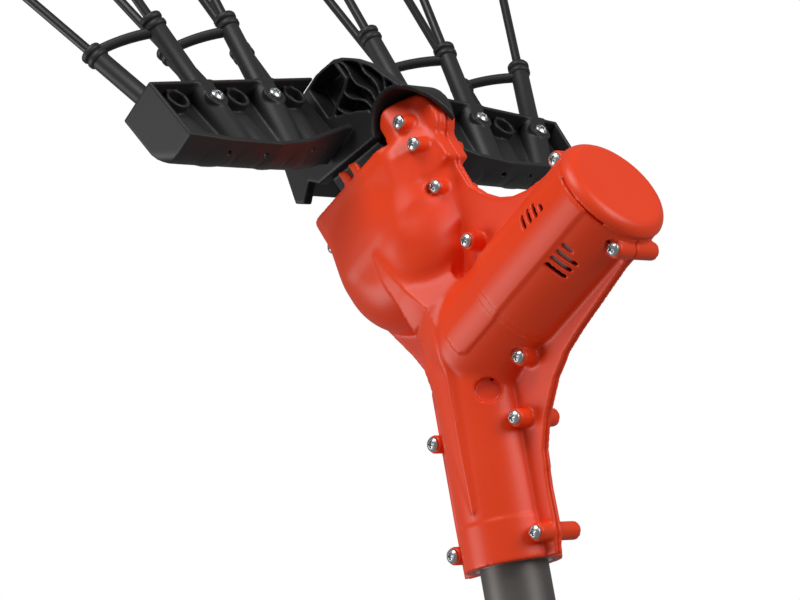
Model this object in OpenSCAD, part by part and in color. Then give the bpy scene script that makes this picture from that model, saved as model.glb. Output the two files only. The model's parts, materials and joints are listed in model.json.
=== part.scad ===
// Head of an electric olive harvester: a two-half housing on a pole, a motor with a crown gear and
// crank, a push rod, and a comb of carbon tines that nods about a pivot in the nose of the housing.
// +Z runs up the pole, the front half faces -Y, and the origin is the centre of the pole's lower end.

/* [Pole] */
// Outer diameter of the pole
pole_d = 35; // [33:0.5:37]
// Wall of the pole
pole_wall = 1.8; // [1.2:0.1:2.4]
// Length of pole below the housing
pole_out = 100; // [70:5:160]
// Length of pole inside the neck
pole_in = 74; // [68:1:78]
// Diameter of the cross hole for a lock pin
lock_d = 6; // [4:0.5:8]
// Height of the cross hole above the lower end
lock_up = 24; // [15:1:40]

/* [Housing] */
// Wall of the moulded housing
wall = 3; // [2.5:0.25:3.5]
// Outer diameter of the neck
neck_d = 48; // [47:0.5:50]
// Outer diameter of the collar at the foot of the neck
collar_d = 49.5; // [49:0.5:51]
// Height of that collar
collar_len = 22; // [18:1:26]
// Height above the neck's foot where the motor axis meets the pole axis
axis_up = 111.2; // [108:0.2:116]
// Rise of the motor axis above level
motor_tilt = 26; // [20:1:30]
// Outer diameter of the motor barrel
barrel_d = 60; // [59:0.5:62]
// Distance along the motor axis to the end of the barrel
barrel_end = 115; // [113:0.5:118]
// Outer radius of the gear case round the crank
case_r = 33; // [32:0.5:35]
// Depth of the gear case in front of the parting plane
case_front = 30; // [29:0.5:31]
// Depth of the gear case behind the parting plane
case_rear = 33; // [33:0.5:35]
// Outer radius of the belly
belly_r = 40; // [39:0.5:42]
// Half depth of the belly
belly_half = 29.5; // [29:0.5:31]
// Half depth of the mouth that the comb goes into
mouth_half = 26; // [26:0.5:28]
// Radius of the nose round the comb pivot
nose_r = 15; // [14.5:0.25:15.5]
// Half depth of the nose
nose_half = 19; // [18:0.5:20]
// How far the lever's slot runs past the nose's round
slot_run = 4; // [3:0.5:5]
// Thickness of the rim on each half
rim_t = 2.5; // [2:0.25:3]

/* [Housing screws] */
// Diameter of the screw bosses
boss_d = 9.5; // [9:0.25:10]
// Shank of the screws
screw_d = 4; // [3.5:0.25:4.2]
// Head of the screws
head_d = 8; // [7:0.5:8.5]
// Height of the heads
head_h = 2.6; // [2:0.2:3]
// Reach of most bosses in front of the parting plane
boss_front = 12; // [11:0.5:14]
// Reach of most bosses behind the parting plane
boss_rear = 18; // [16:0.5:20]

/* [Motion] */
// Swing of the comb to each side of rest, in degrees
swing = 10; // [8:1:10]
// Distance of the comb pivot along the motor axis
pivot_s = 48; // [47:0.5:50]
// Distance of the comb pivot above the motor axis
pivot_p = 113.5; // [112:0.5:116]
// Length of the rocker lever between its two pins
lever_arm = 40; // [38:0.5:41]
// Diameter of the hollow pivot shaft
pivot_d = 12; // [11:0.5:12.5]
// Teeth of the motor pinion
pinion_teeth = 11; // [11:1:11]
// Teeth of the crown gear
crown_teeth = 44; // [44:1:44]

/* [Motor] */
// Length of the motor can
can_len = 60; // [56:1:62]
// Diameter of the motor shaft
shaft_d = 5; // [4:0.5:6]

/* [Comb] */
// Lean of the comb away from the pole axis
comb_tilt = 29.5; // [27:0.5:31]
// Backward sweep of each arm, in degrees
arm_sweep = 8; // [6:0.5:9]
// Length of each arm from the middle of the comb
arm_len = 143; // [136:1:156]
// Depth of the arms from front to back
arm_depth = 27; // [26:0.5:28]
// Height of the arms
arm_h = 38; // [37:0.5:39]
// Distance from one tine socket to the next along an arm
tine_pitch = 23.2; // [22.6:0.2:23.6]
// Distance of the outermost socket from the end of its arm
tine_end = 15.8; // [15:0.2:17]
// Diameter of the tine rods
tine_d = 5; // [4.5:0.25:5.5]
// Length of the tine rods
tine_len = 300; // [240:10:360]
// Forward lean of the front row of tines, in degrees
front_lean = 9; // [7:0.5:10]
// Backward lean of the back row, in degrees
back_lean = 4; // [3:0.5:6]
// Outward lean that each tine has more than the next one inwards, in degrees
fan_step = 6; // [4:0.5:6.5]
// Diameter of the tine sleeves
sleeve_d = 10; // [9.5:0.25:10.5]
// Height of the sleeves above the arms
sleeve_up = 46; // [44:1:48]

/* [Hidden] */
$fn = 48;

// Shared clearances and the overrun of every cut
over = 1;
run_gap = 0.04;
seat_gap = 0.05;
free_gap = 0.6;

// Places in the mechanism's frame: s along the motor axis, p square to it, Y to the rear
crank_s = pivot_s - lever_arm;
crank_r = lever_arm * swing * PI / 180;
mouth_p = 111;
mouth_left = -31;
mouth_right = 38;
mouth_round = 9;
belly_s = -1;
belly_p = 66;
belly_edge = 24;
waist_s = 0;
waist_p = 38;
waist_r = 29;
waist_half = 24;
nose_root_left = 33;
nose_root_right = 55.5;
nose_root_low = 82;
nose_rim = 1.2;
nose_slope = 37;
nose_slope_s = 43;
nose_slope_deep = 60;

// Rim along the parting plane, round the housing from the foot of the neck, as shares of one length
rim_unit = 60;
rim_shares = [[-0.31, -1.9], [-0.165, -1.7], [-0.05, -1.43], [0.12, -1.145], [0.3, -0.96], [0.58, -0.77],
  [0.8, -0.69], [1.08, -0.63], [1.33, -0.59], [1.77, -0.55], [1.77, 0.55], [1.53, 0.58], [1.35, 0.63],
  [1.18, 0.7], [1.05, 0.81], [0.95, 0.95], [0.88, 1.13], [0.88, 1.35], [0.93, 1.65], [0.94, 1.88],
  [0.6, 1.88], [0.6, 1.78], [-0.7, 1.8], [-0.72, 1.5], [-0.72, 1.2], [-0.67, 0.82], [-0.56, 0.42],
  [-0.54, 0.25], [-0.59, 0.04], [-0.68, -0.155], [-0.79, -0.4], [-1.06, -1], [-1.27, -1.43]];

// Flat wing of the neck, from the ridge on its front and back to its left edge
wing_reach = 32;
wing_ridge = 23.4;
wing_edge = 3;
wing_low = 24;
wing_high = 108;

// Raised band along the front of the barrel
band_p = -4.8;
band_w = 16;
band_start = 17;
band_rise = 1.7;

// Places of the housing screws
neck_screw_x = 29;
neck_screw_low = 11.5;
neck_screw_pitch = 58;
nose_low_screw = [48.4, 97.7];
side_high_screw = [41, 75.2];
side_low_screw = [39.7, 39.2];
motor_low_screw = [29.4, -28.9];
cap_screw_s = 110;
cap_screw_in = 0.5;
cap_screw_p = barrel_d / 2 - cap_screw_in;
left_screw_s = -37.5;
left_screw_high = 105;
left_screw_low = 89;
left_boss_front = 8;
left_boss_rear = 12;
nose_low_rear = 16;

// Screw places as [x, z, front reach, rear reach], on the neck and in the mechanism's frame
neck_screw_high = neck_screw_low + neck_screw_pitch;
neck_bosses = [for (x = [-neck_screw_x, neck_screw_x], z = [neck_screw_low, neck_screw_high])
  [x, z, boss_front, boss_rear]];
mech_bosses = [
  [pivot_s, pivot_p, nose_half, nose_half],
  [nose_low_screw[0], nose_low_screw[1], nose_half, nose_low_rear],
  [side_high_screw[0], side_high_screw[1], boss_front, boss_rear],
  [side_low_screw[0], side_low_screw[1], boss_front, boss_rear],
  [motor_low_screw[0], motor_low_screw[1], boss_front, boss_rear],
  [cap_screw_s, cap_screw_p, boss_front, boss_rear],
  [cap_screw_s, -cap_screw_p, boss_front, boss_rear],
  [left_screw_s, left_screw_high, left_boss_front, left_boss_rear],
  [left_screw_s, left_screw_low, left_boss_front, left_boss_rear]];
screw_end_gap = 3;
slot_w = 1.2;
slot_deep = 1.2;

// Grip rings of the neck and the steel collar at its foot
grip_low_top = 12;
grip_mid = 36;
grip_len = 8;
metal_collar_len = 5;
metal_collar_t = 2.2;
// The pole is turned down by this step where the neck grips it
pole_step = 0.4;

// Vent slits in the barrel
slit_w = 1.8;
slit_len = 12;
slit_pitch = 4.6;
slit_count = 4;
slit_s = 78;
slit_turn = 30;

// Motor
can_s = 41;
can_room = 3;
can_d = barrel_d - 2 * wall - 2 * can_room;
can_wall = 1.6;
can_floor = 2;
motor_boss_d = 16;
motor_boss_len = 5;
cradle_w = 3;
cradle_in = 5;
magnet_t = 3.8;
magnet_len = 40;
magnet_gap = 12;
brush_plate_t = 5;
air_gap = 1.1;
core_d = can_d - 2 * can_wall - 2 * magnet_t - 2 * air_gap;
core_len = 30;
core_slot_w = 3;
core_slot_deep = 9;
core_slots = 5;
winding_step = 7;
winding_d = core_d - winding_step;
winding_len = 7;
commutator_d = 16;
commutator_len = 7;
brush_w = 4;
brush_len = 8;
brush_gap = 0.3;
bush_d = 11;
fan_gap = 4;
fan_d = can_d - 2 * can_wall - 2 * fan_gap;
fan_t = 1.4;
fan_h = 4;
fan_hub_d = 12;
fan_blades = 9;
shaft_tail = 4;

// Crown gear and pinion
pinion_len = 6;
pinion_far = 25;
pinion_tip = 6.5;
pinion_root = 4.6;
tooth_tip_w = 0.9;
tooth_root_w = 1.6;
crown_tip_y = 5.9;
crown_root_y = 6.9;
crown_t = 6;
crown_d = 54;
crown_tooth_w = 0.8;
crown_tooth_in = 18.5;
crown_tooth_out = 25.5;
crown_hub_d = 20;

// Crank, roller and push rod
crank_shaft_d = 8;
bearing_d = 22;
bearing_w = 7;
bearing_y = 14;
bearing_step = 8;
bearing_wall = 3;
web_d = 26;
web_t = 5.3;
pin_d = 6;
roller_d = 14;
roller_y = 7.3;
roller_len = 6.4;
slot_play = 1.8;
yoke_rim = 5;
yoke_y = 7;
yoke_t = 7;
yoke_end = 1;
rod_d = 9;
eye_r = 7.5;
pin_play = 0.15;
pin_slide = 1;
rod_pin_far = 6;
guide_d = 13;
guide_low = 50;
guide_len = 22;
guide_block_left = 16;
guide_block_right = 16;
guide_block_front = 20;
guide_block_rear = 12;
post_d = 8;
post_s = 11;

// Rocker lever and pivot
knuckle_r = 10.5;
knuckle_half = 5;
bush_wall = 1.5;
bush_split = 0.5;
pivot_half = 12;
pivot_bore = 4.6;
lever_half = 5;
lever_h = 16;
lever_web_near = 20;
lever_web_far = 44;
lever_top = 24;
lever_flange_t = 5;
lever_flange_half = 13;
lever_flange_over = 2;
lever_screw_d = 5;
lever_screw_len = 16;
lever_screw_half = 9;

// Comb carrier
arch_r = 17.5;
hub_r = 46;
hub_half = 21.5;
hub_shares = [[0.3, 0.46], [0.24, 0.78], [0.02, 1.04], [-0.22, 1.33], [-1.05, 1.33], [-1.05, 0.5],
  [-0.78, 0.43], [-0.2, 0.1]];
arch_wall = 3.2;
arch_start = -45;
arch_end = 75;
arch_cut = 46;
arch_cut_z = 10.8;
hub_rib_t = 2.6;
hub_ribs = 6;
hub_rib_first = 78;
hub_rib_step = 13;
hub_inset = 0.94;
hub_pocket_deep = 7;
hub_ring_t = 3.5;
arm_front = -21.5;
arm_top = 61;
arm_lip = 4;
arm_web = 5;
arm_pocket_start = 28;
arm_back_cut = 3;
arm_back_turn = 45;
room_half = 15.5;
room_near = 12.5;
room_far = 58;
room_low = 60;
skirt_half = 21.5;
skirt_shares = [[-0.87, 0.98], [-1.63, 0.95], [-1.77, 0.52], [-1.67, 0.41], [-1.43, 0.54], [-1.34, 0.4],
  [-0.2, 0.08], [-0.2, 0.43]];
// Lower edge of an arm from its end to the hub, as shares of its length and height
arm_under = [[1, 1], [0.82, 1.16], [0.59, 1.28], [0.43, 1.25], [0.18, 1.03]];

// Tine sockets, sleeves and bridges
tine_out = arm_len - tine_end;
row_half = 6.1;
row_shift = 1.9;
socket_d = 15.5;
socket_deep = 26;
collar_up_d = 13;
collar_t = 3;
collar_step = 4.6;
bridge_d = 6.5;
bridge_down = 7;
bridge_bow = 4;
tine_hold = 26;
tine_screw_d = 4;
tine_screw_head = 8.5;
tine_screw_head_h = 3;
tine_screw_down = 12;
tine_boss_d = 13;
tine_screw_len = 15;

// Power lead: a route chosen by hand through the barrel, the neck and the pole
lead_d = 3.6;
lead_sides = 8;
lead_groove = 0.4;
lead_in = 4.3;
lead_side = 5;
lead_p = lead_in - barrel_d / 2;
lead_early = 2;
lead_late = 3;
lead_start = can_s + can_len + lead_late;
lead_route = [[lead_start, lead_side, lead_p], [can_s + can_len / 2, lead_side, lead_p],
  [can_s - lead_early, lead_side, lead_p], [34, 3, -23.6], [28, 0, -20.8],
  [16, 0, -24.6], [6, 0, -26], [-3, 0, -25.4]];
lead_down = [[5, 0, 80], [2, 0, 72], [0, 0, 60], [0, 0, 30], [0, 0, 0], [0, 0, -30], [0, 0, -60]];
terminal_t = 2;
terminal_half = 2;
terminal_out = barrel_d / 2 - wall - free_gap;
connector_len = 26;
connector_in = 6;
connector_gap = 0.1;
contact_d = 4;
contact_len = 12;
contact_half = 6;

orange = [0.92, 0.27, 0.12];
black = [0.13, 0.13, 0.14];
steel = [0.75, 0.76, 0.78];
dark = [0.22, 0.21, 0.2];
brass = [0.8, 0.62, 0.3];

// The housing's frame stands at the foot of the neck, and the mechanism's frame on the motor axis
module in_head() { translate([0, 0, pole_out]) children(); }
module in_mech() { in_head() translate([0, 0, axis_up]) rotate([0, -motor_tilt, 0]) children(); }
module at_crank() { in_mech() translate([crank_s, 0, 0]) children(); }
module at_pivot() { in_mech() translate([pivot_s, 0, pivot_p]) children(); }
module in_comb() { at_pivot() rotate([0, motor_tilt - comb_tilt, 0]) children(); }
module in_arm(side) { in_comb() rotate([-side * arm_sweep, 0, 0]) children(); }

// A round bar along Y between two depths, and one along the motor axis
module y_bar(x, z, from, to, d) {
  translate([x, from, z]) rotate([-90, 0, 0]) cylinder(d = d, h = to - from);
}
module s_bar(from, to, d) {
  translate([from, 0, 0]) rotate([0, 90, 0]) cylinder(d = d, h = to - from);
}
module s_ring(from, to, d, hole) {
  difference() {
    s_bar(from, to, d);
    s_bar(from - over, to + over, hole);
  }
}
module box(low, high) { translate(low) cube(high - low); }

// A box with its upright edges rounded
module round_box(low, high, r) {
  box([low[0] + r, low[1], low[2]], [high[0] - r, high[1], high[2]]);
  box([low[0], low[1] + r, low[2]], [high[0], high[1] - r, high[2]]);
  for (x = [low[0] + r, high[0] - r], y = [low[1] + r, high[1] - r])
    translate([x, y, low[2]]) cylinder(r = r, h = high[2] - low[2]);
}

// A drum about Y with rounded edges
module drum(r, half, edge) {
  rotate([90, 0, 0]) rotate_extrude() intersection() {
    translate([0, -half]) square([r, 2 * half]);
    union() {
      translate([0, -half]) square([r - edge, 2 * half]);
      translate([0, edge - half]) square([r, 2 * (half - edge)]);
      for (side = [-1, 1]) translate([r - edge, side * (half - edge)]) circle(r = edge);
    }
  }
}

// Main form of the housing; grow is negative for the hollow inside, which runs out of every opening
module housing_form(grow) {
  out = grow < 0 ? over + wall : 0;
  in_mech() {
    s_bar(crank_s, barrel_end + out, barrel_d + 2 * grow);
    y_bar(crank_s, 0, -case_front - grow, case_rear + grow, 2 * (case_r + grow));
    translate([belly_s, 0, belly_p]) drum(belly_r + grow, belly_half + grow, belly_edge + grow);
    y_bar(waist_s, waist_p, -waist_half - grow, waist_half + grow, 2 * (waist_r + grow));
    round_box([mouth_left - grow, -mouth_half - grow, belly_p],
              [mouth_right + grow, mouth_half + grow, mouth_p + out], mouth_round + grow);
  }
}
module neck_form() {
  in_head() {
    cylinder(d = neck_d, h = axis_up);
    cylinder(d = collar_d, h = collar_len);
    wing(0);
  }
}
module wing(inset) {
  edge = wing_edge - inset / 2;
  ridge = wing_ridge - inset;
  translate([0, 0, wing_low + inset]) linear_extrude(height = wing_high - wing_low - 2 * inset)
    polygon([[0, -ridge], [inset - wing_reach, -edge], [inset - wing_reach, edge], [0, ridge]]);
}
module neck_hollow() {
  bore = pole_d - 2 * pole_step;
  hollow = neck_d - 2 * wall;
  in_head() {
    difference() {
      wing(wall);
      translate([0, 0, wing_low]) cylinder(d = neck_d, h = wing_high - wing_low);
    }
    translate([0, 0, -over]) cylinder(d = bore, h = pole_in + over);
    translate([0, 0, grip_low_top]) cylinder(d = hollow, h = grip_mid - grip_low_top);
    translate([0, 0, grip_mid + grip_len]) cylinder(d = hollow, h = pole_in - grip_mid - 2 * grip_len);
    translate([0, 0, pole_in]) cylinder(d = hollow - 2 * wall, h = axis_up - pole_in);
    translate([0, 0, -over])
      cylinder(d = pole_d + 2 * metal_collar_t + 2 * seat_gap, h = metal_collar_len + over);
  }
}
module nose_form() {
  in_mech() {
    difference() {
      union() {
        y_bar(pivot_s, pivot_p, -nose_half, nose_half, 2 * nose_r);
        box([nose_root_left, -nose_half, nose_root_low], [nose_root_right, nose_half, pivot_p]);
      }
      for (side = [0, 1]) mirror([0, side, 0]) translate([nose_slope_s, nose_half, nose_root_low - nose_r])
        rotate([0, 0, -nose_slope]) cube(nose_slope_deep);
    }
  }
}
module band() {
  in_mech() intersection() {
    s_bar(band_start, barrel_end, barrel_d + 2 * band_rise);
    union() {
      box([band_start + band_w / 2, -barrel_d, band_p - band_w / 2], [barrel_end, 0, band_p + band_w / 2]);
      y_bar(band_start + band_w / 2, band_p, -barrel_d, 0, band_w);
    }
  }
}

// Rim along the parting plane, wider than the housing all round it
module rim() {
  in_mech() {
    translate([0, rim_t, 0]) rotate([90, 0, 0]) linear_extrude(height = 2 * rim_t)
      polygon(rim_shares * rim_unit);
    y_bar(pivot_s, pivot_p, -rim_t, rim_t, 2 * (nose_r + nose_rim));
  }
}
module each_boss() {
  in_head() for (b = neck_bosses) translate([b[0], 0, b[1]]) boss_kind(b) children();
  in_mech() for (b = mech_bosses) translate([b[0], 0, b[1]]) boss_kind(b) children();
}
module boss_kind(b) { $front = b[2]; $rear = b[3]; children(); }
module bosses() { each_boss() y_bar(0, 0, -$front, $rear, boss_d); }
module boss_holes() {
  each_boss() {
    y_bar(0, 0, -$front - over, $rear - screw_end_gap, screw_d + 2 * seat_gap);
    y_bar(0, 0, -case_front - over, -$front, head_d + 2 * free_gap);
  }
}

// What the housing holds inside: cradle rings for the motor, the crank's bearing seat and the guide's posts
module inner_forms() {
  in_mech() {
    for (s = [can_s + cradle_in, can_s + can_len - cradle_in - cradle_w])
      s_ring(s, s + cradle_w, barrel_d - wall, can_d + 2 * seat_gap);
    y_bar(crank_s, 0, bearing_y, case_rear - wall / 2, bearing_d + 2 * bearing_wall);
    for (s = [-post_s, post_s]) {
      y_bar(crank_s + s, guide_low + guide_len / 2, guide_block_rear, belly_half - wall / 2, post_d);
      y_bar(crank_s + s, guide_low + guide_len / 2, wall / 2 - belly_half, -guide_block_front, post_d);
    }
  }
}
module inner_cuts() {
  in_mech() {
    y_bar(crank_s, 0, 0, bearing_y + bearing_step + bearing_w, bearing_d + 2 * seat_gap);
    y_bar(pivot_s, pivot_p, -pivot_half, pivot_half, pivot_d + 2 * seat_gap);
    y_bar(pivot_s, pivot_p, -knuckle_half - free_gap, knuckle_half + free_gap, 2 * (knuckle_r + free_gap));
    box([pivot_s - nose_r - slot_run, -knuckle_half - free_gap, pivot_p - lever_h],
        [pivot_s, knuckle_half + free_gap, pivot_p + nose_r + slot_run]);
    for (i = [0:slit_count - 1], turn = [-slit_turn, slit_turn])
      translate([slit_s + i * slit_pitch, 0, 0]) rotate([turn, 0, 0])
        box([-slit_w / 2, -barrel_d / 2 - over, -slit_len / 2],
            [slit_w / 2, wall - barrel_d / 2 + over, slit_len / 2]);
    translate([0, lead_side, lead_p])
      s_bar(can_s - motor_boss_len, barrel_end - wall, lead_d + 2 * lead_groove);
  }
}
module shell_half(side) {
  reach = barrel_end + pivot_p + axis_up;
  color(orange) intersection() {
    difference() {
      union() {
        difference() {
          union() {
            housing_form(0);
            neck_form();
            nose_form();
            band();
            rim();
          }
          housing_form(-wall);
        }
        bosses();
        inner_forms();
      }
      neck_hollow();
      boss_holes();
      inner_cuts();
    }
    box([-reach, side < 0 ? -reach : 0, -reach], [reach, side < 0 ? 0 : reach, 3 * reach]);
  }
}
module front_shell() { shell_half(-1); }
module rear_shell() { shell_half(1); }

cap_round = 5;
cap_len = 9;
cap_spigot = 6;
cap_spigot_t = 2;
module motor_cap() {
  cap_r = barrel_d / 2;
  color(orange) in_mech() difference() {
    union() {
      translate([barrel_end, 0, 0]) rotate([0, 90, 0]) rotate_extrude() {
        square([cap_r - cap_round, cap_len]);
        square([cap_r, cap_len - cap_round]);
        intersection() {
          translate([cap_r - cap_round, cap_len - cap_round]) circle(r = cap_round);
          square([cap_r, cap_len]);
        }
      }
      s_ring(barrel_end - cap_spigot, barrel_end + wall, barrel_d - 2 * wall - 2 * seat_gap,
             barrel_d - 2 * wall - 2 * cap_spigot_t);
    }
    s_bar(barrel_end - over, barrel_end + cap_len - wall, barrel_d - 2 * wall - 2 * cap_spigot_t);
    for (p = [-cap_screw_p, cap_screw_p])
      y_bar(cap_screw_s, p, -barrel_d, barrel_d, boss_d + 2 * free_gap);
  }
}

// A pan head screw along +Y with a cross recess, from the outside of its head
module screw(shank, head, rise, len) {
  difference() {
    union() {
      y_bar(0, 0, -rise, 0, head);
      y_bar(0, 0, 0, len, shank);
    }
    for (a = [0, 90]) rotate([0, a, 0])
      box([-head / 3, -rise - over, -slot_w / 2], [head / 3, slot_deep - rise, slot_w / 2]);
  }
}
module shell_screws() {
  color(steel) each_boss() translate([0, -$front, 0])
    screw(screw_d, head_d, head_h, $front + $rear - screw_end_gap - over);
}

module pole_tube() {
  color(dark) difference() {
    union() {
      cylinder(d = pole_d, h = pole_out);
      cylinder(d = pole_d - 2 * pole_step - 2 * seat_gap, h = pole_out + pole_in);
    }
    translate([0, 0, -over]) cylinder(d = pole_d - 2 * pole_wall, h = pole_out + pole_in + 2 * over);
    translate([0, 0, lock_up]) y_bar(0, 0, -pole_d, pole_d, lock_d);
  }
}
module pole_collar() {
  color(steel) in_head() difference() {
    cylinder(d = pole_d + 2 * metal_collar_t, h = metal_collar_len);
    translate([0, 0, -over]) cylinder(d = pole_d - 2 * pole_step, h = metal_collar_len + 2 * over);
  }
}

// A tube of a few sides swept along a route of points
function unit(v) = v / norm(v);
function heading(path, i) = unit(path[min(i + 1, len(path) - 1)] - path[max(i - 1, 0)]);
function ring_point(path, i, a, r) =
  let (along = heading(path, i), across = unit(cross(along, [0, 1, 0])), up = cross(across, along))
  path[i] + r * (cos(a) * across + sin(a) * up);
module sweep(path, d, sides) {
  last = len(path) - 1;
  polyhedron(
    points = [for (i = [0:last], k = [0:sides - 1]) ring_point(path, i, 360 * k / sides, d / 2)],
    faces = concat(
      [for (i = [0:last - 1], k = [0:sides - 1], half = [0, 1]) let (next = (k + 1) % sides)
        half == 0 ? [i * sides + k, (i + 1) * sides + k, i * sides + next]
                  : [i * sides + next, (i + 1) * sides + k, (i + 1) * sides + next]],
      [for (k = [1:sides - 2]) [0, k, k + 1]],
      [for (k = [1:sides - 2]) [last * sides, last * sides + k + 1, last * sides + k]]));
}
function mech_point(q) = [q[0] * cos(motor_tilt) - q[2] * sin(motor_tilt), q[1],
  pole_out + axis_up + q[0] * sin(motor_tilt) + q[2] * cos(motor_tilt)];
lead_low = connector_in + connector_len;
lead_path = concat([for (q = lead_route) mech_point(q)], [for (q = lead_down) q + [0, 0, pole_out]],
  [[0, 0, lead_low]]);
module power_lead() { color("black") sweep(lead_path, lead_d, lead_sides); }
module pole_connector() {
  color(black) difference() {
    translate([0, 0, connector_in])
      cylinder(d = pole_d - 2 * pole_wall - 2 * connector_gap, h = connector_len);
    translate([0, 0, lock_up]) y_bar(0, 0, -pole_d, pole_d, lock_d);
    for (x = [-contact_half, contact_half])
      translate([x, 0, connector_in - over]) cylinder(d = contact_d, h = contact_len / 2 + over);
  }
}
module connector_pins() {
  color(brass) for (x = [-contact_half, contact_half])
    translate([x, 0, connector_in - contact_len / 2]) cylinder(d = contact_d - 2 * seat_gap, h = contact_len);
}

// Motor, from the can to the brushes
can_end = can_s + can_len;
module motor_can() {
  color(steel) in_mech() difference() {
    union() {
      s_bar(can_s, can_end, can_d);
      s_bar(can_s - motor_boss_len, can_s, motor_boss_d);
    }
    s_bar(can_s + can_floor, can_end + over, can_d - 2 * can_wall);
    s_bar(can_s - motor_boss_len - over, can_s + can_floor + over, bush_d + 2 * seat_gap);
  }
}
core_s = can_s + can_len / 2 - core_len / 2;
module motor_magnets() {
  outer = can_d - 2 * can_wall - 2 * seat_gap;
  mid = can_s + can_len / 2;
  color(dark) in_mech() difference() {
    s_ring(mid - magnet_len / 2, mid + magnet_len / 2, outer, outer - 2 * magnet_t);
    box([can_s, -magnet_gap / 2, -can_d], [can_end, magnet_gap / 2, can_d]);
  }
}
module brush_plate() {
  color(black) in_mech() {
    s_ring(can_end, can_end + brush_plate_t, can_d, bush_d + 2 * seat_gap);
    box([lead_route[0][0], lead_route[0][1] - terminal_half, -terminal_out],
        [lead_route[0][0] + terminal_t, lead_route[0][1] + terminal_half, wall - can_d / 2]);
  }
}
module motor_bushes() {
  color(brass) in_mech() {
    s_ring(can_s - motor_boss_len, can_s + can_floor, bush_d, shaft_d + 2 * run_gap);
    s_ring(can_end, can_end + brush_plate_t, bush_d, shaft_d + 2 * run_gap);
  }
}
commutator_s = can_end - commutator_len - over;
module motor_brushes() {
  near = commutator_d / 2 + brush_gap;
  color(dark) in_mech() for (side = [-1, 1]) translate([can_end, side * (near + brush_len / 2), 0])
    box([-commutator_len, -brush_len / 2, -brush_w / 2], [0, brush_len / 2, brush_w / 2]);
}
module motor_shaft() {
  color(steel) in_mech() s_bar(pinion_far, can_end + brush_plate_t + shaft_tail, shaft_d);
}
module armature_core() {
  color(dark) in_mech() difference() {
    s_ring(core_s, core_s + core_len, core_d, shaft_d + seat_gap);
    for (i = [0:core_slots - 1]) rotate([i * 360 / core_slots, 0, 0])
      box([core_s - over, -core_slot_w / 2, core_d / 2 - core_slot_deep],
          [core_s + core_len + over, core_slot_w / 2, core_d]);
  }
}
module armature_windings() {
  color(brass) in_mech() for (s = [core_s - winding_len, core_s + core_len])
    s_ring(s, s + winding_len, winding_d, shaft_d + seat_gap);
}
module commutator() {
  color(brass) in_mech()
    s_ring(commutator_s, commutator_s + commutator_len, commutator_d, shaft_d + seat_gap);
}
module cooling_fan() {
  fan_s = can_s + can_floor + over;
  color(black) in_mech() {
    s_ring(fan_s, fan_s + fan_t, fan_d, shaft_d + seat_gap);
    s_ring(fan_s, fan_s + fan_h, fan_hub_d, shaft_d + seat_gap);
    for (i = [0:fan_blades - 1]) rotate([i * 360 / fan_blades, 0, 0])
      box([fan_s, -fan_t / 2, fan_hub_d / 2 - fan_t], [fan_s + fan_h, fan_t / 2, fan_d / 2]);
  }
}
module motor_pinion() {
  step = 360 / pinion_teeth;
  color(steel) in_mech() difference() {
    translate([pinion_far, 0, 0]) rotate([90, 0, 90]) linear_extrude(height = pinion_len) {
      circle(r = pinion_root);
      for (i = [0:pinion_teeth - 1]) rotate((i + 1 / 2) * step)
        polygon([[0, -tooth_root_w / 2], [pinion_root, -tooth_root_w / 2], [pinion_tip, -tooth_tip_w / 2],
                 [pinion_tip, tooth_tip_w / 2], [pinion_root, tooth_root_w / 2], [0, tooth_root_w / 2]]);
    }
    s_bar(pinion_far - over, pinion_far + pinion_len + over, shaft_d + seat_gap);
  }
}

// Crank: crown gear, shaft with its web, pin and roller
module crown_gear() {
  color(dark) at_crank() difference() {
    union() {
      y_bar(0, 0, crown_root_y, crown_root_y + crown_t, crown_d);
      for (i = [0:crown_teeth - 1]) rotate([0, i * 360 / crown_teeth, 0])
        box([crown_tooth_in, crown_tip_y, -crown_tooth_w / 2],
            [crown_tooth_out, crown_root_y + over, crown_tooth_w / 2]);
    }
    y_bar(0, 0, 0, case_rear, crank_shaft_d + seat_gap);
  }
}
module crank_shaft() {
  color(steel) at_crank() difference() {
    union() {
      y_bar(0, 0, 0, bearing_y + bearing_step + bearing_w, crank_shaft_d);
      y_bar(0, 0, 0, crown_root_y, crown_hub_d);
      y_bar(0, 0, -web_t, 0, web_d);
    }
    y_bar(-crank_r, 0, -web_t - over, over, pin_d + seat_gap);
  }
}
module crank_pin() {
  color(steel) at_crank() y_bar(-crank_r, 0, -roller_y - roller_len, 0, pin_d);
}
module crank_roller() {
  color(steel) at_crank() difference() {
    y_bar(-crank_r, 0, -roller_y - roller_len, -roller_y, roller_d);
    y_bar(-crank_r, 0, -roller_y - roller_len - over, over, pin_d + 2 * run_gap);
  }
}
module crank_bearings() {
  color(steel) at_crank() for (i = [0, 1]) difference() {
    y_bar(0, 0, bearing_y + i * bearing_step, bearing_y + i * bearing_step + bearing_w, bearing_d);
    y_bar(0, 0, 0, case_rear, crank_shaft_d + 2 * run_gap);
  }
}

// Push rod: a yoke round the roller, a guided rod and an eye at the rocker lever
slot_half = roller_d / 2 + slot_play;
slot_reach = crank_r + yoke_end;
module push_rod() {
  mid_y = -yoke_y - yoke_t / 2;
  color(steel) at_crank() difference() {
    union() {
      box([-slot_reach - slot_half - yoke_rim / 2, -yoke_y - yoke_t, -slot_half - yoke_rim],
          [slot_reach + slot_half + yoke_rim / 2, -yoke_y, slot_half + yoke_rim]);
      translate([0, mid_y, slot_half + over]) cylinder(d = rod_d, h = pivot_p - slot_half - over);
      y_bar(0, pivot_p, -yoke_y - yoke_t, -yoke_y, 2 * eye_r);
    }
    for (s = [-slot_reach, slot_reach]) y_bar(s, 0, -yoke_y - yoke_t - over, over, 2 * slot_half);
    box([-slot_reach, -yoke_y - yoke_t - over, -slot_half], [slot_reach, over, slot_half]);
    y_bar(0, pivot_p, -yoke_y - yoke_t - over, over, pin_d + seat_gap);
  }
}
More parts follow.
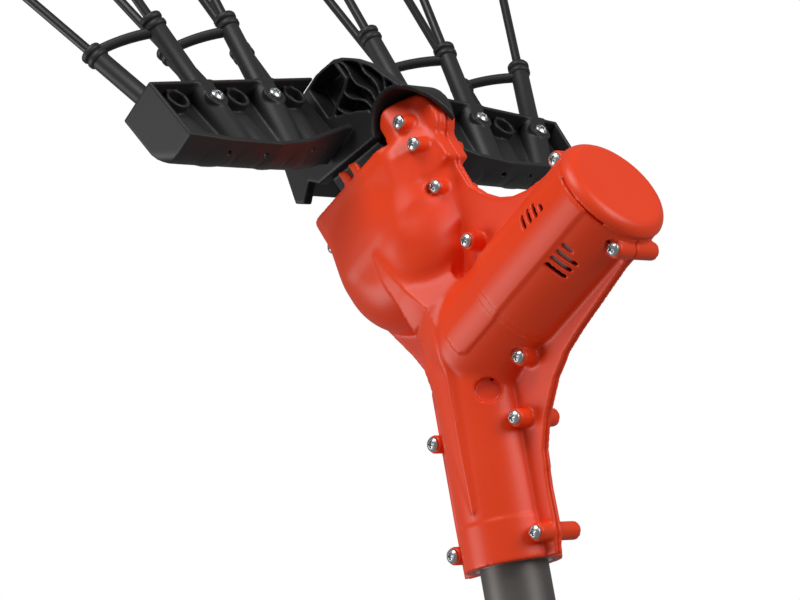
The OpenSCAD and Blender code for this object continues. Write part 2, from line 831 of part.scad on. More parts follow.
module rod_pin() {
  color(steel) at_crank() y_bar(0, pivot_p, -yoke_y - yoke_t, rod_pin_far, pin_d);
}
module rod_guide() {
  color(brass) at_crank() translate([0, -yoke_y - yoke_t / 2, guide_low]) difference() {
    cylinder(d = guide_d, h = guide_len);
    translate([0, 0, -over]) cylinder(d = rod_d + 2 * run_gap, h = guide_len + 2 * over);
  }
}
module guide_block() {
  color(dark) at_crank() difference() {
    box([-guide_block_left, -guide_block_front, guide_low],
        [guide_block_right, guide_block_rear, guide_low + guide_len]);
    translate([0, -yoke_y - yoke_t / 2, guide_low - over])
      cylinder(d = guide_d + 2 * seat_gap, h = guide_len + 2 * over);
  }
}

// Pivot shaft, bushes and the rocker lever that carries the comb
module pivot_shaft() {
  color(steel) at_pivot() difference() {
    y_bar(0, 0, -pivot_half, pivot_half, pivot_d);
    y_bar(0, 0, -pivot_half - over, pivot_half + over, pivot_bore);
  }
}
bush_outer = pivot_d + 2 * bush_wall;
module pivot_bushes() {
  color(brass) at_pivot() for (side = [-1, 1]) difference() {
    y_bar(0, 0, side < 0 ? -knuckle_half : bush_split, side < 0 ? -bush_split : knuckle_half, bush_outer);
    y_bar(0, 0, -pivot_half, pivot_half, pivot_d + 2 * run_gap);
  }
}
module rocker_lever() {
  slide_half = pin_d / 2 + pin_play;
  color(dark) at_pivot() difference() {
    union() {
      y_bar(0, 0, -knuckle_half, knuckle_half, 2 * knuckle_r);
      y_bar(-lever_arm, 0, -lever_half, lever_half, lever_h);
      box([-lever_arm, -lever_half, -lever_h / 2], [0, lever_half, lever_h / 2]);
      box([-lever_web_far, -lever_half, 0], [-lever_web_near, lever_half, lever_top]);
      box([-lever_web_far - lever_flange_over, -lever_flange_half, lever_top - lever_flange_t],
          [-lever_web_near + lever_flange_over, lever_flange_half, lever_top]);
    }
    y_bar(0, 0, -pivot_half, pivot_half, bush_outer + seat_gap);
    for (s = [-pin_slide, pin_slide]) y_bar(s - lever_arm, 0, -lever_h, lever_h, 2 * slide_half);
    box([-lever_arm - pin_slide, -lever_h, -slide_half], [pin_slide - lever_arm, lever_h, slide_half]);
    lever_screw_places() translate([0, 0, -lever_screw_len])
      cylinder(d = lever_screw_d + 2 * seat_gap, h = 2 * lever_screw_len);
  }
}
module lever_screw_places() {
  mid = (lever_web_near + lever_web_far) / 2;
  for (y = [-lever_screw_half, lever_screw_half]) translate([-mid, y, lever_top]) children();
}
module lever_screws() {
  color(steel) at_pivot() lever_screw_places() {
    translate([0, 0, -lever_flange_t]) cylinder(d = lever_screw_d, h = lever_screw_len);
    translate([0, 0, -lever_flange_t - head_h]) cylinder(d = head_d, h = head_h);
  }
}

// Places of the tines: 1 is the outermost socket of an arm; odd sockets of the left arm and even ones of the
// right arm stand in the back row, and the others in the front row
function tine_y(i) = tine_out - (i - 1) * tine_pitch;
function row_of(side, i) = (side < 0) == (i % 2 == 1) ? -1 : 1;
function lean_of(side, i) = row_of(side, i) > 0 ? front_lean : -back_lean;
function fan_of(side, i) = side * fan_step * (3 - i);
function tine_foot(side, i) = [row_mid + row_of(side, i) * row_half, side * tine_y(i), arm_top];
row_mid = arm_front - arm_depth / 2 + row_shift;
module at_tine(side, i) {
  $row = row_of(side, i);
  $lean = lean_of(side, i);
  in_arm(side) translate(tine_foot(side, i))
    rotate([-fan_of(side, i), 0, 0]) rotate([0, $lean, 0]) children();
}
module all_tines() { for (side = [-1, 1], i = [1:5]) at_tine(side, i) children(); }
// The cross screw of a tine: its own frame has the head towards -Y
module at_tine_screw() {
  translate([0, 0, -tine_screw_down]) rotate([0, -$lean, 0]) rotate([0, 0, $row * 90]) children();
}
tine_seat = row_half + over;

// Comb carrier: an arch over the nose with fan ribs,
// two arms with pockets and sockets, and a skirt over the mouth
module plate(half, shares) {
  translate([0, half, 0]) rotate([90, 0, 0]) linear_extrude(height = 2 * half) polygon(shares * hub_r);
}
module hub() {
  difference() {
    plate(hub_half, hub_shares);
    for (side = [-1, 1]) intersection() {
      plate(hub_half + over, hub_shares * hub_inset);
      difference() {
        y_bar(0, 0, side < 0 ? -hub_half - over : hub_half - hub_pocket_deep,
              side < 0 ? hub_pocket_deep - hub_half : hub_half + over, 2 * (hub_r - hub_ring_t));
        y_bar(0, 0, -hub_half - over, hub_half + over, 2 * (arch_r + hub_ring_t));
        for (i = [0:hub_ribs - 1]) rotate([0, -hub_rib_first - i * hub_rib_step, 0])
          box([0, -hub_half - over, -hub_rib_t / 2], [hub_r, hub_half + over, hub_rib_t / 2]);
      }
    }
  }
}
// The thin end of the arch, whose front edge falls back as it comes down over the nose
module arch() {
  reach = arch_r + arch_wall;
  difference() {
    intersection() {
      y_bar(0, 0, -hub_half, hub_half, 2 * reach);
      translate([0, hub_half, 0]) rotate([90, 0, 0]) linear_extrude(height = 2 * hub_half)
        polygon([for (q = [[0, 0], [2, arch_start], [2, (arch_start + arch_end) / 2], [2, arch_end]])
          q[0] * reach * [cos(q[1]), sin(q[1])]]);
    }
    translate([0, -hub_half, arch_cut_z]) rotate([-arch_cut, 0, 0])
      box([0, -2 * hub_r, -2 * hub_r], [hub_r, 0, 2 * hub_r]);
  }
}
module arm_block(inset, start, from, to) {
  low = [for (q = arm_under) [min(q[0] * arm_len, arm_len - inset), arm_top - q[1] * arm_h + inset]];
  top = arm_top - inset;
  translate([from, 0, 0]) rotate([90, 0, 90]) linear_extrude(height = to - from)
    polygon(concat([[start, top], [arm_len - inset, top]], low, [[start, low[len(low) - 1][1]]]));
}
module arm(side) {
  back = arm_front - arm_depth;
  mid = arm_front - arm_depth / 2;
  mirror([0, side < 0 ? 1 : 0, 0]) difference() {
    arm_block(0, hub_half / 2, back, arm_front);
    arm_block(arm_lip, arm_pocket_start, mid + arm_web / 2, arm_front + over);
    intersection() {
      arm_block(arm_lip, arm_pocket_start, back - over, mid - arm_web / 2);
      box([back - over, 0, arm_top - arm_h + arm_lip + arm_back_cut], [arm_front, arm_len, arm_top]);
    }
    intersection() {
      translate([back, 0, arm_top - arm_h]) rotate([0, -arm_back_turn, 0])
        box([-arm_h, -over, -arm_h], [arm_back_cut, arm_len + over, arm_h]);
      box([back - over, 0, 0], [arm_front, arm_len + over, arm_top]);
    }
  }
}
module comb_carrier() {
  color(black) difference() {
    union() {
      in_comb() hub();
      in_comb() arch();
      in_comb() plate(skirt_half, skirt_shares);
      for (side = [-1, 1]) {
        in_arm(side) arm(side);
        intersection() {
          for (i = [1:5]) at_tine(side, i) socket();
          in_arm(side) mirror([0, side < 0 ? 1 : 0, 0]) arm_block(0, 0, arm_front - arm_depth, arm_front);
        }
      }
    }
    in_comb() y_bar(0, 0, -hub_half - over, hub_half + over, 2 * arch_r);
    at_pivot() box([-room_far, -room_half, -room_low], [-room_near, room_half, lever_top]);
    at_pivot() lever_screw_places()
      cylinder(d = lever_screw_d + 2 * seat_gap, h = lever_screw_len - lever_flange_t + seat_gap);
    all_tines() {
      translate([0, 0, -socket_deep]) cylinder(d = sleeve_d + 2 * seat_gap, h = socket_deep + arm_h);
      at_tine_screw() {
        y_bar(0, 0, -arm_depth, tine_screw_len - tine_seat + over, tine_screw_d + 2 * seat_gap);
        y_bar(0, 0, -arm_depth, -tine_seat, tine_screw_head + 2 * free_gap);
      }
    }
  }
}
module socket() {
  translate([0, 0, -arm_h]) cylinder(d = socket_d, h = arm_h + arm_lip);
  at_tine_screw() y_bar(0, 0, -tine_seat, 0, tine_boss_d);
}
module tine_screws() {
  color(steel) all_tines() at_tine_screw() translate([0, -tine_seat, 0])
    screw(tine_screw_d, tine_screw_head, tine_screw_head_h, tine_screw_len);
}

// Tine sleeves with a double collar, single or joined in pairs by a bowed bridge
module sleeve(side, i) {
  at_tine(side, i) difference() {
    union() {
      translate([0, 0, -socket_deep]) cylinder(d = sleeve_d, h = socket_deep + sleeve_up);
      for (z = [sleeve_up - collar_t, sleeve_up - collar_t - collar_step])
        translate([0, 0, z]) cylinder(d = collar_up_d, h = collar_t);
    }
    translate([0, 0, sleeve_up - tine_hold]) cylinder(d = tine_d + seat_gap, h = tine_hold + over);
    at_tine_screw() y_bar(0, 0, -arm_depth, arm_depth, tine_screw_d + 2 * seat_gap);
  }
}
function bridge_end(side, i) =
  let (lean = lean_of(side, i), fan = fan_of(side, i), up = sleeve_up - bridge_down)
  tine_foot(side, i) + up * [sin(lean), cos(lean) * sin(fan), cos(lean) * cos(fan)];
// A round bar bowed upwards between two points, as part of a ring
module bow_between(a, b, d, bow) {
  along = b - a;
  half = norm(along) / 2;
  ring_r = (half * half + bow * bow) / (2 * bow);
  turn = asin(half / ring_r);
  translate((a + b) / 2)
    rotate([0, 0, atan2(along[1], along[0])]) rotate([0, -asin(along[2] / norm(along)), 0])
    translate([0, 0, bow - ring_r]) rotate([90, 0, 0]) rotate([0, 0, 90 - turn])
      rotate_extrude(angle = 2 * turn) translate([ring_r, 0]) circle(d = d);
}
module holder_pair(side, i) {
  a = bridge_end(side, i);
  b = bridge_end(side, i + 1);
  color(black) {
    sleeve(side, i);
    sleeve(side, i + 1);
    difference() {
      in_arm(side) bow_between(a, b, bridge_d, bridge_bow);
      for (k = [i, i + 1]) at_tine(side, k)
        translate([0, 0, sleeve_up - tine_hold]) cylinder(d = tine_d + seat_gap, h = tine_hold + over);
    }
  }
}
module holder_left_outer() { holder_pair(-1, 1); }
module holder_left_inner() { holder_pair(-1, 3); }
module holder_left_single() { color(black) sleeve(-1, 5); }
module holder_right_outer() { holder_pair(1, 1); }
module holder_right_inner() { holder_pair(1, 3); }
module holder_right_single() { color(black) sleeve(1, 5); }
module tine(side, i) {
  color(black) at_tine(side, i) translate([0, 0, sleeve_up - tine_hold]) {
    cylinder(d = tine_d, h = tine_len - tine_d / 2);
    translate([0, 0, tine_len - tine_d / 2]) sphere(d = tine_d);
  }
}

front_shell();
rear_shell();
motor_cap();
shell_screws();
pole_tube();
pole_collar();
power_lead();
pole_connector();
connector_pins();
motor_can();
motor_magnets();
brush_plate();
motor_brushes();
motor_bushes();
crank_bearings();
rod_guide();
guide_block();
pivot_shaft();
motor_shaft();
armature_core();
armature_windings();
commutator();
motor_pinion();
cooling_fan();
crown_gear();
crank_shaft();
crank_pin();
crank_roller();
push_rod();
rod_pin();
rocker_lever();
pivot_bushes();
comb_carrier();
lever_screws();
tine_screws();
holder_left_outer();
holder_left_inner();
holder_left_single();
holder_right_outer();
holder_right_inner();
holder_right_single();
for (i = [1:5]) {
  tine(-1, i);
  tine(1, i);
}
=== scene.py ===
"""Looks of the electric olive harvester head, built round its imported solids. Lengths are in millimetres."""

import json
import math

import bpy
import numpy as np
import openvdb
from mathutils import Matrix, Vector


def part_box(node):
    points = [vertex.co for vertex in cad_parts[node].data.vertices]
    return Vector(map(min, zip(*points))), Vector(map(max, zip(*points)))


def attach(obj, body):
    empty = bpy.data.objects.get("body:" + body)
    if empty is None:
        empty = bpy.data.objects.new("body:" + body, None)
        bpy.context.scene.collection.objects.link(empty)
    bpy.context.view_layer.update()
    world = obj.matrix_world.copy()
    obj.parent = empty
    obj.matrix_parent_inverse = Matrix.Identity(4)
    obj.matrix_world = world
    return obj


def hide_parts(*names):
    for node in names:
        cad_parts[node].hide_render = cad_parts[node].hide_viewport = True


MM = 0.001
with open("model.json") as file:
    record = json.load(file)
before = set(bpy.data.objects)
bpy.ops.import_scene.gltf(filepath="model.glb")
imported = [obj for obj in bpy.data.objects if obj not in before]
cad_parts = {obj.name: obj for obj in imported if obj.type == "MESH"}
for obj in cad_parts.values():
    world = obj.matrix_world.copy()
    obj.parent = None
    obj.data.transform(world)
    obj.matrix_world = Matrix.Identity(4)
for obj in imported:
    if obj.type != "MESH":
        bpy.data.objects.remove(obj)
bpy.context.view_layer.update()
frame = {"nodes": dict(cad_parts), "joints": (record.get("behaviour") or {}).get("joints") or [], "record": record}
joints = {j["name"]: j for j in frame["joints"]}


def row_mm(values):
    return Vector(values) / MM


# Places taken from the frame: the neck's foot, the motor axis, the crank and the comb's pivot
FOOT = row_mm(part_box("front_shell")[0]).z
AXIS = Vector(joints["motor_spin"]["axis"])
TILT = math.atan2(AXIS.z, AXIS.x)
ON_AXIS = row_mm(joints["motor_spin"]["pos_m"])
AXIS_Z = ON_AXIS.z - ON_AXIS.x * math.tan(TILT)


def mech(point):
    """A row point as (s along the motor axis, p square to it)."""
    up = point.z - AXIS_Z
    return (point.x * math.cos(TILT) + up * math.sin(TILT), up * math.cos(TILT) - point.x * math.sin(TILT))


PIVOT = row_mm(joints["comb_swing"]["pos_m"])
PIVOT_S, PIVOT_P = mech(PIVOT)
CRANK_S, CRANK_P = mech(row_mm(joints["crank_spin"]["pos_m"]))

# Camera, fitted to the screws, the pole and the comb's sockets
# Its shift and distance start at the neck's foot
LENS = 135
SENSOR = 36
VIEW_AZIMUTH = 43.8
VIEW_ELEVATION = -11.7
VIEW_ROLL = 9.97
VIEW_SHIFT = (-57.17, 133.35)
VIEW_DISTANCE = 1503.5


def make_camera():
    az, el, roll = (math.radians(a) for a in (VIEW_AZIMUTH, VIEW_ELEVATION, VIEW_ROLL))
    back = Vector((math.sin(az) * math.cos(el), -math.cos(az) * math.cos(el), math.sin(el)))
    level = Vector((math.cos(az), math.sin(az), 0))
    lift = back.cross(level)
    right = math.cos(roll) * level - math.sin(roll) * lift
    up = math.sin(roll) * level + math.cos(roll) * lift
    place = right * VIEW_SHIFT[0] + up * VIEW_SHIFT[1] + back * VIEW_DISTANCE + Vector((0, 0, FOOT))
    data = bpy.data.cameras.new("camera")
    data.lens = LENS
    data.sensor_width = SENSOR
    camera = bpy.data.objects.new("camera", data)
    bpy.context.scene.collection.objects.link(camera)
    turn = Matrix((right, up, back)).transposed().to_4x4()
    camera.matrix_world = Matrix.Translation(place * MM) @ turn
    bpy.context.scene.camera = camera


make_camera()


# Materials

# Places of a Mix node's colour sockets
MIX_LOW, MIX_HIGH, MIX_RESULT = 6, 7, 2
# Scales of the patterns, and how much each one changes the gloss or lifts the surface
MOTTLE, MOTTLE_GLOSS = 22.0, 0.12
GRAIN, GRAIN_DETAIL, GRAIN_DEEP = 1700.0, 2.0, 0.0002
PLASTIC_SHINE = 0.4
METAL_GRAIN, METAL_SHADE, METAL_GLOSS = 300.0, 0.8, 0.15
SATIN_CLOUD, SATIN_GLOSS, SATIN_GRAIN, SATIN_LIFT = 60.0, 0.1, 900.0, 0.06


class Sum:
    """A shader value that adds and multiplies by making Math nodes."""

    def __init__(self, paint, socket):
        self.paint, self.socket = paint, socket

    def _math(self, kind, other):
        node = self.paint.node("ShaderNodeMath", {"operation": kind}, {0: self, 1: other})
        return Sum(self.paint, node.outputs[0])

    def __add__(self, other):
        return self._math("ADD", other)

    def __mul__(self, other):
        return self._math("MULTIPLY", other)

    __radd__ = __add__
    __rmul__ = __mul__


class Paint:
    """One procedural material on object coordinates."""

    def __init__(self, name):
        self.material = bpy.data.materials.new(name)
        self.material.use_nodes = True
        self.tree = self.material.node_tree
        self.shader = self.tree.nodes["Principled BSDF"]
        self.place = self.node("ShaderNodeTexCoord").outputs["Object"]

    def node(self, kind, settings=None, sockets=None):
        """A node with its settings, and then the values or links of its sockets."""
        made = self.tree.nodes.new(kind)
        for key, value in (settings or {}).items():
            setattr(made, key, value)
        for key, value in (sockets or {}).items():
            self.feed(made.inputs[key], value)
        return made

    def feed(self, slot, value):
        if isinstance(value, Sum):
            value = value.socket
        if isinstance(value, bpy.types.NodeSocket):
            self.tree.links.new(value, slot)
        else:
            slot.default_value = value

    def noise(self, scale, detail=3.0):
        sockets = {"Vector": self.place, "Scale": scale, "Detail": detail}
        made = self.node("ShaderNodeTexNoise", sockets=sockets)
        return Sum(self, made.outputs["Fac"])

    def mix(self, share, low, high):
        sockets = {"Factor": share, MIX_LOW: (*low, 1), MIX_HIGH: (*high, 1)}
        made = self.node("ShaderNodeMix", {"data_type": "RGBA"}, sockets)
        return made.outputs[MIX_RESULT]

    def set(self, **values):
        for key, value in values.items():
            self.feed(self.shader.inputs[key.replace("_", " ")], value)
        return self

    def bump(self, height, strength, distance):
        sockets = {"Strength": strength, "Distance": distance, "Height": height}
        made = self.node("ShaderNodeBump", sockets=sockets)
        return self.set(Normal=made.outputs["Normal"])


def moulded(name, dark, light, rough, grain):
    """Moulded plastic: a faint mottle in colour and gloss, and a fine grain."""
    paint = Paint(name)
    cloud = paint.noise(MOTTLE)
    paint.set(Base_Color=paint.mix(cloud, dark, light), Roughness=cloud * MOTTLE_GLOSS + rough)
    paint.set(Specular_IOR_Level=PLASTIC_SHINE)
    return paint.bump(paint.noise(GRAIN, GRAIN_DETAIL), grain, GRAIN_DEEP).material


def metal(name, colour, rough):
    """Bare metal with a fine mottle."""
    paint = Paint(name)
    grain = paint.noise(METAL_GRAIN)
    shade = tuple(c * METAL_SHADE for c in colour)
    paint.set(Base_Color=paint.mix(grain, shade, colour), Metallic=1.0, Roughness=grain * METAL_GLOSS + rough)
    return paint.material


def satin(name, dark, light, rough, metallic=0.0):
    """A smooth coating with a soft sheen."""
    paint = Paint(name)
    cloud = paint.noise(SATIN_CLOUD)
    paint.set(Base_Color=paint.mix(cloud, dark, light), Metallic=metallic)
    paint.set(Roughness=cloud * SATIN_GLOSS + rough)
    return paint.bump(paint.noise(SATIN_GRAIN), SATIN_LIFT, GRAIN_DEEP).material


MATERIALS = {
    "orange_plastic": moulded("orange_plastic", (0.80, 0.046, 0.006), (0.86, 0.058, 0.009), 0.32, 0.06),
    "black_plastic": moulded("black_plastic", (0.014, 0.014, 0.015), (0.022, 0.022, 0.023), 0.42, 0.15),
    "carbon_rod": satin("carbon_rod", (0.008, 0.008, 0.009), (0.014, 0.014, 0.015), 0.34),
    "dark_anodised": satin("dark_anodised", (0.110, 0.099, 0.094), (0.132, 0.121, 0.115), 0.42, 0.5),
    "zinc_steel": metal("zinc_steel", (0.62, 0.65, 0.66), 0.24),
    "bright_steel": metal("bright_steel", (0.58, 0.58, 0.60), 0.22),
    "bronze": metal("bronze", (0.60, 0.38, 0.15), 0.30),
    "dark_iron": metal("dark_iron", (0.12, 0.11, 0.10), 0.45),
    "cast_aluminium": metal("cast_aluminium", (0.55, 0.55, 0.57), 0.38),
    "lead_rubber": satin("lead_rubber", (0.010, 0.010, 0.010), (0.016, 0.016, 0.016), 0.55),
}


# Signed distances on a grid, in millimetres

# Cells on each side of a surface that keep their distance
BAND_CELLS = 3


def smooth_min(a, b, k):
    """The lower of two fields, with a blend of radius k where they meet."""
    h = np.clip(0.5 + 0.5 * (b - a) / k, 0, 1)
    return b * (1 - h) + a * h - k * h * (1 - h)


def smooth_max(a, b, k):
    return -smooth_min(-a, -b, k)


def rounded(reach, r):
    """A convex form from how far each coordinate lies outside its half size, with edges of radius r."""
    reach = [q + r for q in reach]
    outside = np.sqrt(sum(np.maximum(q, 0) ** 2 for q in reach))
    inside = reach[0]
    for q in reach[1:]:
        inside = np.maximum(inside, q)
    return outside + np.minimum(inside, 0) - r


def span(value, low, high):
    """How far a value lies outside the stretch from low to high."""
    return np.abs(value - (low + high) / 2) - (high - low) / 2


def polygon(u, v, points):
    """Signed distance to a closed outline in a plane."""
    best = None
    inside = None
    for (ax, ay), (bx, by) in zip(points, points[1:] + points[:1]):
        ex, ey = bx - ax, by - ay
        wx, wy = u - ax, v - ay
        t = np.clip((wx * ex + wy * ey) / (ex * ex + ey * ey), 0, 1)
        d = (wx - ex * t) ** 2 + (wy - ey * t) ** 2
        best = d if best is None else np.minimum(best, d)
        c1, c2, c3 = v >= ay, v < by, ex * wy > ey * wx
        flip = (c1 & c2 & c3) | (~c1 & ~c2 & ~c3)
        inside = flip if inside is None else inside ^ flip
    return np.where(inside, -1.0, 1.0) * np.sqrt(best)


def bead(x, y, z, points, r):
    """A round bead along a line of points."""
    best = None
    for a, b in zip(points, points[1:]):
        e = [q - w for q, w in zip(b, a)]
        w = [x - a[0], y - a[1], z - a[2]]
        t = np.clip(sum(p * q for p, q in zip(w, e)) / sum(q * q for q in e), 0, 1)
        d = np.sqrt(sum((p - q * t) ** 2 for p, q in zip(w, e)))
        best = d if best is None else np.minimum(best, d)
    return best - r


def grid(low, high, step):
    """Open coordinate axes of a box of cells."""
    axes = [np.arange(a, b + step, step, dtype=np.float32) for a, b in zip(low, high)]
    return np.meshgrid(*axes, indexing="ij", sparse=True)


def surface(name, field, low, step, material, to_row=Matrix.Identity(4)):
    """The zero surface of a field as a smooth mesh; to_row takes the grid's frame to the row frame."""
    band = BAND_CELLS * step
    volume = openvdb.FloatGrid(background=float(band))
    volume.copyFromArray(np.ascontiguousarray(np.clip(field, -band, band), dtype=np.float32))
    points, triangles, quads = volume.convertToPolygons(isovalue=0.0, adaptivity=0.0)
    points = points.astype(float) * step + np.array(low, float)
    turn = np.array(to_row)
    points = (points @ turn[:3, :3].T + turn[:3, 3]) * MM
    order = 1 if np.linalg.det(turn[:3, :3]) < 0 else -1
    faces = [tuple(int(i) for i in f[::order]) for kind in (quads, triangles) for f in kind]
    mesh = bpy.data.meshes.new(name)
    mesh.from_pydata([tuple(p) for p in points], [], faces)
    mesh.update()
    mesh.shade_smooth()
    return piece(name, mesh, material)


def piece(name, mesh, slot):
    """An object with its material, in the scene."""
    mesh.materials.clear()
    mesh.materials.append(MATERIALS[slot])
    made = bpy.data.objects.new(name, mesh)
    bpy.context.scene.collection.objects.link(made)
    return made


def islands(node):
    """Vertices of each separate solid of a CAD node, in millimetres."""
    mesh = frame["nodes"][node].data
    co = np.array([v.co for v in mesh.vertices], float) / MM
    keys = {}
    alias = [keys.setdefault(tuple(np.round(p, 3)), i) for i, p in enumerate(co)]
    parent = list(range(len(co)))

    def root(i):
        while parent[i] != i:
            parent[i] = parent[parent[i]]
            i = parent[i]
        return i

    for edge in mesh.edges:
        a, b = (root(alias[i]) for i in edge.vertices)
        parent[a] = b
    groups = {}
    for i in range(len(co)):
        groups.setdefault(root(alias[i]), []).append(i)
    return [co[g] for g in groups.values()]


# Housing halves: sizes are heights above the neck's foot, or s along and p across the motor axis
# LEFT and RIGHT are s places, LOW and TOP are p places, and HALF is a depth from the parting plane

SHELL_STEP = 1.02
WALL = 2.6
SEAM = 0.12
NECK_R, NECK_TOP, NECK_EDGE = 24.4, 104, 0.8
FOOT_R, FOOT_TOP, FOOT_EDGE = 24.9, 22, 0.3
WING_RIDGE, WING_EDGE = (2, 25), (-31.5, 4)
WING_LOW, WING_RUN, WING_TOP = 28, 1.9, 112
CAP_LEN = 8
CAP_END = max(mech(Vector(v))[0] for v in islands("motor_cap")[0]) + 1.5
BARREL_R, BARREL_END = 30, CAP_END - CAP_LEN
BARREL_START, BARREL_ROUND = -9.5, 14
STEP_S, STEP_IN = 44, 1.3
RING_W, RING_IN = 4, 0.65
CASE_R, CASE_FRONT, CASE_REAR, CASE_ROUND = 31, -16, 31.5, 14
BELLY_S, BELLY_P, BELLY_R = -3, 66, 39.5
BELLY_HALF, BELLY_ROUND = 29.5, 27
MOUTH_LEFT, MOUTH_RIGHT, MOUTH_LOW, MOUTH_TOP = -31, 38, 70, 132
MOUTH_HALF, MOUTH_ROUND, MOUTH_BEVEL = 26, 9, 2.5
LIP_P, LIP_LEAN = 108.6, 0.057
NOSE_R, NOSE_HALF = 15, 19
ROOT_LEFT, ROOT_RIGHT, ROOT_LOW = 33, 55.5, 84
SLOPE_S, SLOPE, NOSE_FLOOR = 42.3, math.radians(46), 7.8
FLANK_P, FLANK_LEAN = 97.7, 0.52
FLANK_LEFT, FLANK_RIGHT, FLANK_LOW, FLANK_TOP, FLANK_ROUND = 4, 54, 57, 108, 8
SLOT_HALF, SLOT_LEFT, SLOT_DEEP, KNUCKLE_R = 5.6, 20, 16, 11.1
RIM_T, NOSE_RIM = 2.5, 1.2
# Rim along the parting plane, as (s, p) points round the barrel, the nose and the belly
RIM = [
    (0, -40), (35.8, -45.8), (48, -41), (62, -38.5), (80, -36.5), (108, -33), (108, 33), (92, 35), (81, 37.5),
    (71, 42), (63, 48.6), (57, 57), (52.5, 67.5), (53, 81), (55.5, 99), (56.5, 111), (36, 111), (36, 105),
    (-40, 105), (-43, 90), (-43, 72), (-40, 49), (-34, 25), (-32.5, 15), (-35.4, 2.6),
]
# Rim of the neck, as (x, height) points from its foot round to its top
NECK_RIM = [
    (31.6, 0), (34, 15), (33.5, 33), (35.4, 52.6), (40.6, 67.4), (51.8, 85.7), (30, 100), (-33.6, 98),
    (-33.6, 68.8), (-33.6, 29.5), (-33, 0),
]
# Keel that comes down the belly and runs out on the neck
# Each point has x, height, depth, the falls to the left and the right, and the width of the left face
KEEL = [
    (-28.7, 168.3, 29.6, 0.05, 0.7, 0.3),
    (-21.5, 157.1, 29.9, 0.06, 0.8, 5.3),
    (-13.7, 146.6, 29.3, 0.09, 1, 10),
    (-2.1, 133.7, 28.6, 0.36, 1, 20),
    (1.7, 123, 28.8, 0.42, 1, 19),
    (1.9, 114.3, 28.6, 0.42, 1, 17.5),
    (1.5, 106.5, 28, 0.38, 1.2, 16.5),
    (2.9, 97.9, 26.4, 0.33, 1.6, 15),
    (2.7, 86.5, 26.1, 0.31, 1.8, 12.5),
    (2.3, 58, 25.7, 0.31, 1.8, 6.5),
    (2.5, 28, 24.6, 0.3, 1.8, 0.3),
]
KEEL_WIDE, KEEL_LOW = 18, 12
BAND_P, BAND_HALF, BAND_START, BAND_RISE, BAND_CORNER = -4.8, 8, 9.5, 0.8, 5
BOSS_R, BOSS_TAIL, SCREW_HEAD = 4.75, 3, 2.6
# Screws further than this across the motor axis have the slim bosses of the nose
NOSE_BOSS_R, NOSE_BOSS_P = 3.7, 60
BORE_R, BORE_TOP, COLLAR_R, COLLAR_TOP = 17.6, 60, 19.8, 5
# Vent slits in the barrel: first place along s, and turn about the axis and half length of each slit
VENTS = (
    (84.7, ((21, 5.2), (21, 5.2), (19, 5.2), (14, 2.8))),
    (82.0, ((-40.3, 6.4), (-40.5, 6.4), (-41, 6.4), (-34.8, 3.2))),
)
VENT_PITCH, VENT_HALF, VENT_FRONT = 4.6, 1.05, 15
# Oval recess at the top of the neck
OVAL_TURN, OVAL_H = math.radians(-40.2), 86.6
OVAL_WIDE, OVAL_HIGH, OVAL_DEEP = 7, 6.2, 3.7
# Snap hooks on the front edge of the mouth: left, right and top
HOOKS = ((2.6, 8, 119.5), (10.8, 16, 118))
HOOK_LOW, HOOK_T, HOOK_LEAN = 104, 3.2, 0.55
# Radii of edges, and of the blends where one form runs into the next
WING_CREST, WING_ROUND, WING_BLEND = 0.6, 1.5, 0.8
BARREL_EDGE, RING_EDGE = 0.5, 0.3
MOUTH_EDGE, BEVEL_BLEND, FLANK_BLEND, SLOPE_BLEND, BELLY_BLEND = 3, 7, 2, 3, 9
NOSE_EDGE, NOSE_BLEND, RIM_EDGE, RIM_BLEND = 2, 3, 0.6, 1
KEEL_EDGE, KEEL_BLEND, NECK_BLEND = 0.5, 4, 2
CASE_BLEND, BODY_BLEND, LIP_EDGE = 3, 10, 1
DETAIL_EDGE, BOSS_BLEND, BORE_EDGE, SLOT_EDGE = 0.8, 1.2, 0.3, 0.5
# Free cells round a shell's box
SHELL_ROOM = Vector((6, 4, 6))


def screw_places():
    """Axis, front and back of each housing screw, from the solids."""
    found = []
    for co in islands("shell_screws"):
        low, high = co.min(0), co.max(0)
        found.append(((low[0] + high[0]) / 2, (low[2] + high[2]) / 2, low[1], high[1]))
    return found


HOUSING_SCREWS = screw_places()


class Head:
    """A grid's places in the frames of the neck and the mechanism, and its distances from their axes."""

    def __init__(self, x, y, z):
        up = z - AXIS_Z
        self.x, self.y, self.z, self.h = x, y, z, z - FOOT
        self.s = x * math.cos(TILT) + up * math.sin(TILT)
        self.p = up * math.cos(TILT) - x * math.sin(TILT)
        self.depth = np.abs(y)
        self.from_pole = np.hypot(x, y)
        self.from_motor = np.hypot(y, self.p)
        self.from_pivot = np.hypot(self.s - PIVOT_S, self.p - PIVOT_P)
        self.from_crank = np.hypot(self.s - CRANK_S, self.p - CRANK_P)


def facet(u, v, a, b):
    """How far a place lies outside the line from a to b."""
    run, rise = b[0] - a[0], b[1] - a[1]
    return (rise * (u - a[0]) - run * (v - a[1])) / math.hypot(run, rise)


def neck_form(at):
    tube = rounded([at.from_pole - NECK_R, span(at.h, 0, NECK_TOP)], NECK_EDGE)
    foot = rounded([at.from_pole - FOOT_R, span(at.h, 0, FOOT_TOP)], FOOT_EDGE)
    face = smooth_max(facet(at.x, at.depth, WING_RIDGE, WING_EDGE), at.x - WING_RIDGE[0], WING_CREST)
    low = (WING_LOW + WING_RUN * (WING_RIDGE[0] - at.x) - at.h) / math.hypot(1, WING_RUN)
    ends = np.maximum(np.maximum(WING_EDGE[0] - at.x, at.h - WING_TOP), low)
    return smooth_min(np.minimum(tube, foot), smooth_max(face, ends, WING_ROUND), WING_BLEND)


